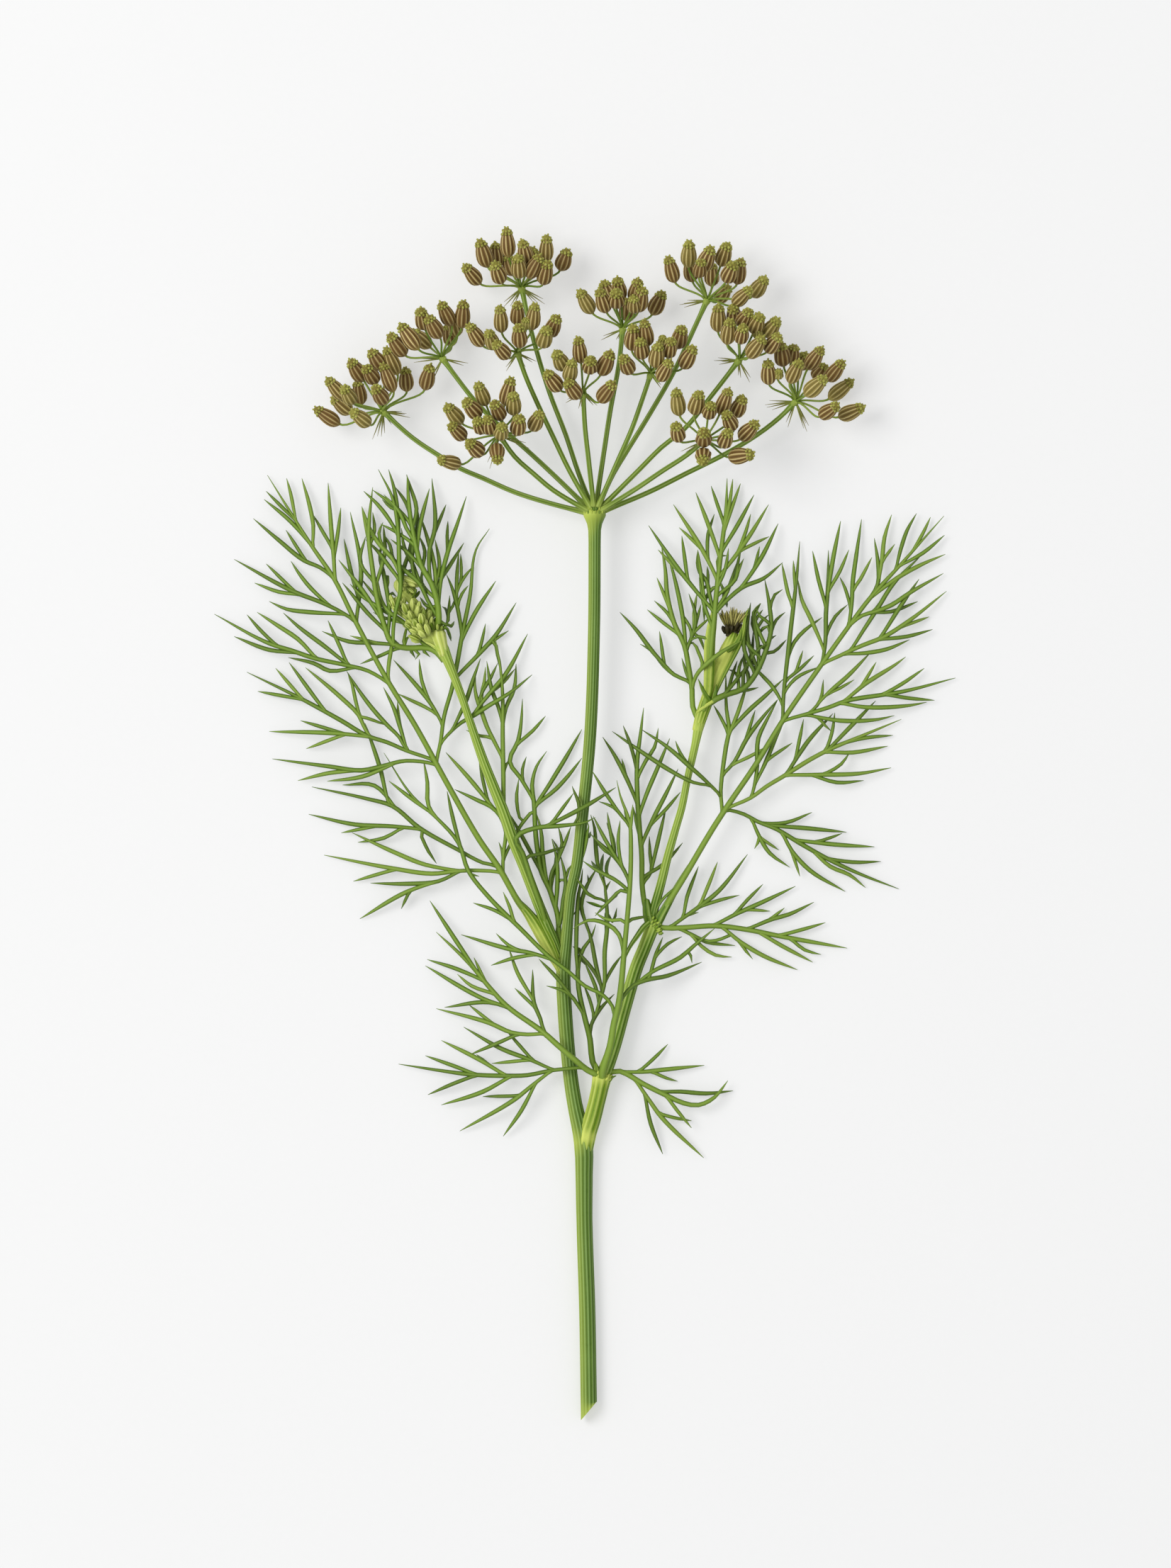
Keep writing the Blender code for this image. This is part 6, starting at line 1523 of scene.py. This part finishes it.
def addBracts(shape, marks, knob, tip, chance):
    # a pair of thin bracts, one a little shorter and turned aside
    for turn, share in ((0.0, 1.0), (chance.choice((-bractLook["turn"], bractLook["turn"])),
                                     bractLook["shorter"])):
        spoke = (tip - knob.xy) * share
        spoke.rotate(Matrix.Rotation(turn, 2))
        end = Vector((*(knob.xy + spoke), max(bractLook["floorGap"], knob.z - chance.uniform(0.2, 1.2))))
        middle = knob.lerp(end, 0.5) + upward * bractLook["rise"]
        curve = smoothPath([knob, middle, end], spacing=bractLook["spacing"])
        run = [(point, valueAlong(bractLook["radii"], place))
               for point, place in zip(curve, pathShares(curve)[0])]
        sweepRun(shape, marks, run, 5, tone=lambda place, angle: -0.25 - 0.7 * place, span=(0.1, 0.8))


def addCushion(shape, marks, centre, heading, chance):
    def lumpy(angle, share):
        return 1.0 + 0.10 * math.sin(7 * angle + 9 * share), 0.6
    sweepRun(shape, marks, [(centre + heading * along, radius) for along, radius in cushion], 20, lumpy,
             tone=0.5)
    for step in range(6):
        out = Vector((chance.uniform(-1, 1), chance.uniform(-1, 1), chance.uniform(0, 1))).normalized()
        sweepRun(shape, marks, [(centre + out * 0.3, 0.2), (centre + out * 0.62, 0.16)], 7, tone=0.7)


def buildUmbellet(number, plan, heading):
    knob = Vector(plan["end"])
    chance = random.Random(number)
    seeds, seedMarks = newShape()
    stalks, stalkMarks = newShape()
    for index, line in enumerate(plan["seeds"].strip("\n").split("\n")):
        foot, crown, *given = readPoints(line)
        foot, crown = Vector(foot), Vector(crown)
        size = given[0][0] if given else 1.0
        downward = plan["tier"] == "low" and index % 3 == 2 and not given
        reach = (foot - knob.xy).length
        rise = stalkLook["spread"] * math.sqrt(max(0.0, stalkLook["length"] ** 2 - reach ** 2))
        footHeight = max(seedLook["width"] + stalkLook["floorGap"], knob.z + (-rise if downward else rise))
        hidden = max(0.0, (seedLook["length"] * size) ** 2 - (crown - foot).length_squared)
        tilt = stalkLook["spread"] * math.sqrt(hidden) * (stalkLook["lowTilt"] if downward else 1.0)
        base = Vector((*foot, footHeight))
        top = Vector((*crown, footHeight + tilt))
        addSeed(seeds, seedMarks, base, top,
                0.45 + 0.55 * size if size < 1 else chance.uniform(*seedLook["sizes"]),
                chance.uniform(0, math.pi),
                seedLook["smallTone"] if size < 0.6 else chance.choice(seedLook["tones"]), chance)
        addStalk(stalks, stalkMarks, knob, heading, base, (top - base).normalized(), chance)
    for tip in readPoints(plan["bracts"]):
        addBracts(stalks, stalkMarks, knob, Vector(tip), chance)
    addCushion(stalks, stalkMarks, knob, heading, chance)
    node = f"umbellet_{number:02d}"
    placePiece(f"{node}_seeds", seeds, skins["seed"], "seed_brown", node)
    placePiece(f"{node}_stalks", stalks, skins["ray"], "stem_green", node)


def buildUmbel():
    for number, plan in enumerate(umbellets, start=1):
        buildUmbellet(number, plan, buildRay(number, plan))
    print("umbel built:", len(umbellets), "rays")




studio = {
    "ground": (0.47, 0.47, 0.47, 1.0), "fibre": (0.4653, 0.4653, 0.4653, 1.0), "fibreSize": 900.0,
    "groundGlow": 0.42, "groundGloss": 0.85, "groundShine": 0.2, "groundSize": 2.0,
    "sky": (0.98, 0.99, 1.0, 1.0), "skyStrength": 0.66, "keyPlace": (-0.80, 0.30, 1.1), "keySize": 0.8,
    "keyPower": 11.2, "keyColour": (1.0, 0.99, 0.97),
    "lens": 400.0, "frameHeight": 0.2459, "aim": (0.0001, 0.0062), "aimHeight": 0.003,
}


def aimAt(thing, target):
    thing.rotation_euler = (Vector(target) - thing.location).to_track_quat("-Z", "Y").to_euler()


def buildGround():
    # a light table: white paper that glows a little
    shape = bmesh.new()
    bmesh.ops.create_grid(shape, x_segments=1, y_segments=1, size=studio["groundSize"])
    mesh = bpy.data.meshes.new("paper ground")
    shape.to_mesh(mesh)
    shape.free()
    material = bpy.data.materials.new("white paper")
    material.use_nodes = True
    tree = material.node_tree
    fibre = mapRange(tree, noise(tree, studio["fibreSize"], 4.0), 0.3, 0.7)
    setInputs(tree, tree.nodes["Principled BSDF"], {
        "Base Color": mixColours(tree, fibre, studio["ground"], studio["fibre"]),
        "Emission Color": (1.0, 1.0, 1.0, 1.0), "Emission Strength": studio["groundGlow"],
        "Roughness": studio["groundGloss"], "Specular IOR Level": studio["groundShine"]})
    mesh.materials.append(material)
    floor = bpy.data.objects.new("ground", mesh)
    bpy.context.scene.collection.objects.link(floor)


def buildStage():
    scene = bpy.context.scene
    buildGround()
    world = bpy.data.worlds.new("studio")
    scene.world = world
    world.use_nodes = True
    setInputs(world.node_tree, world.node_tree.nodes["Background"], {
        "Color": studio["sky"], "Strength": studio["skyStrength"]})

    lamp = bpy.data.lights.new("soft key", "AREA")
    lamp.shape = "DISK"
    lamp.size = studio["keySize"]
    lamp.energy = studio["keyPower"]
    lamp.color = studio["keyColour"]
    key = bpy.data.objects.new("soft key", lamp)
    key.location = studio["keyPlace"]
    scene.collection.objects.link(key)
    aimAt(key, cadMiddle)

    camera = bpy.data.cameras.new("overhead")
    camera.lens = studio["lens"]
    camera.sensor_width = 36.0
    camera.clip_start = 0.05
    holder = bpy.data.objects.new("overhead", camera)
    distance = studio["frameHeight"] * studio["lens"] / camera.sensor_width
    holder.location = (cadMiddle.x + studio["aim"][0], cadMiddle.y + studio["aim"][1],
                       cadLow.z + studio["aimHeight"] + distance)
    scene.collection.objects.link(holder)
    scene.camera = holder
    scene.view_settings.view_transform = "Standard"
    print("stage set")


buildStems()
buildSheaths()
buildBuds()
buildLeaves()
buildUmbel()
buildStage()
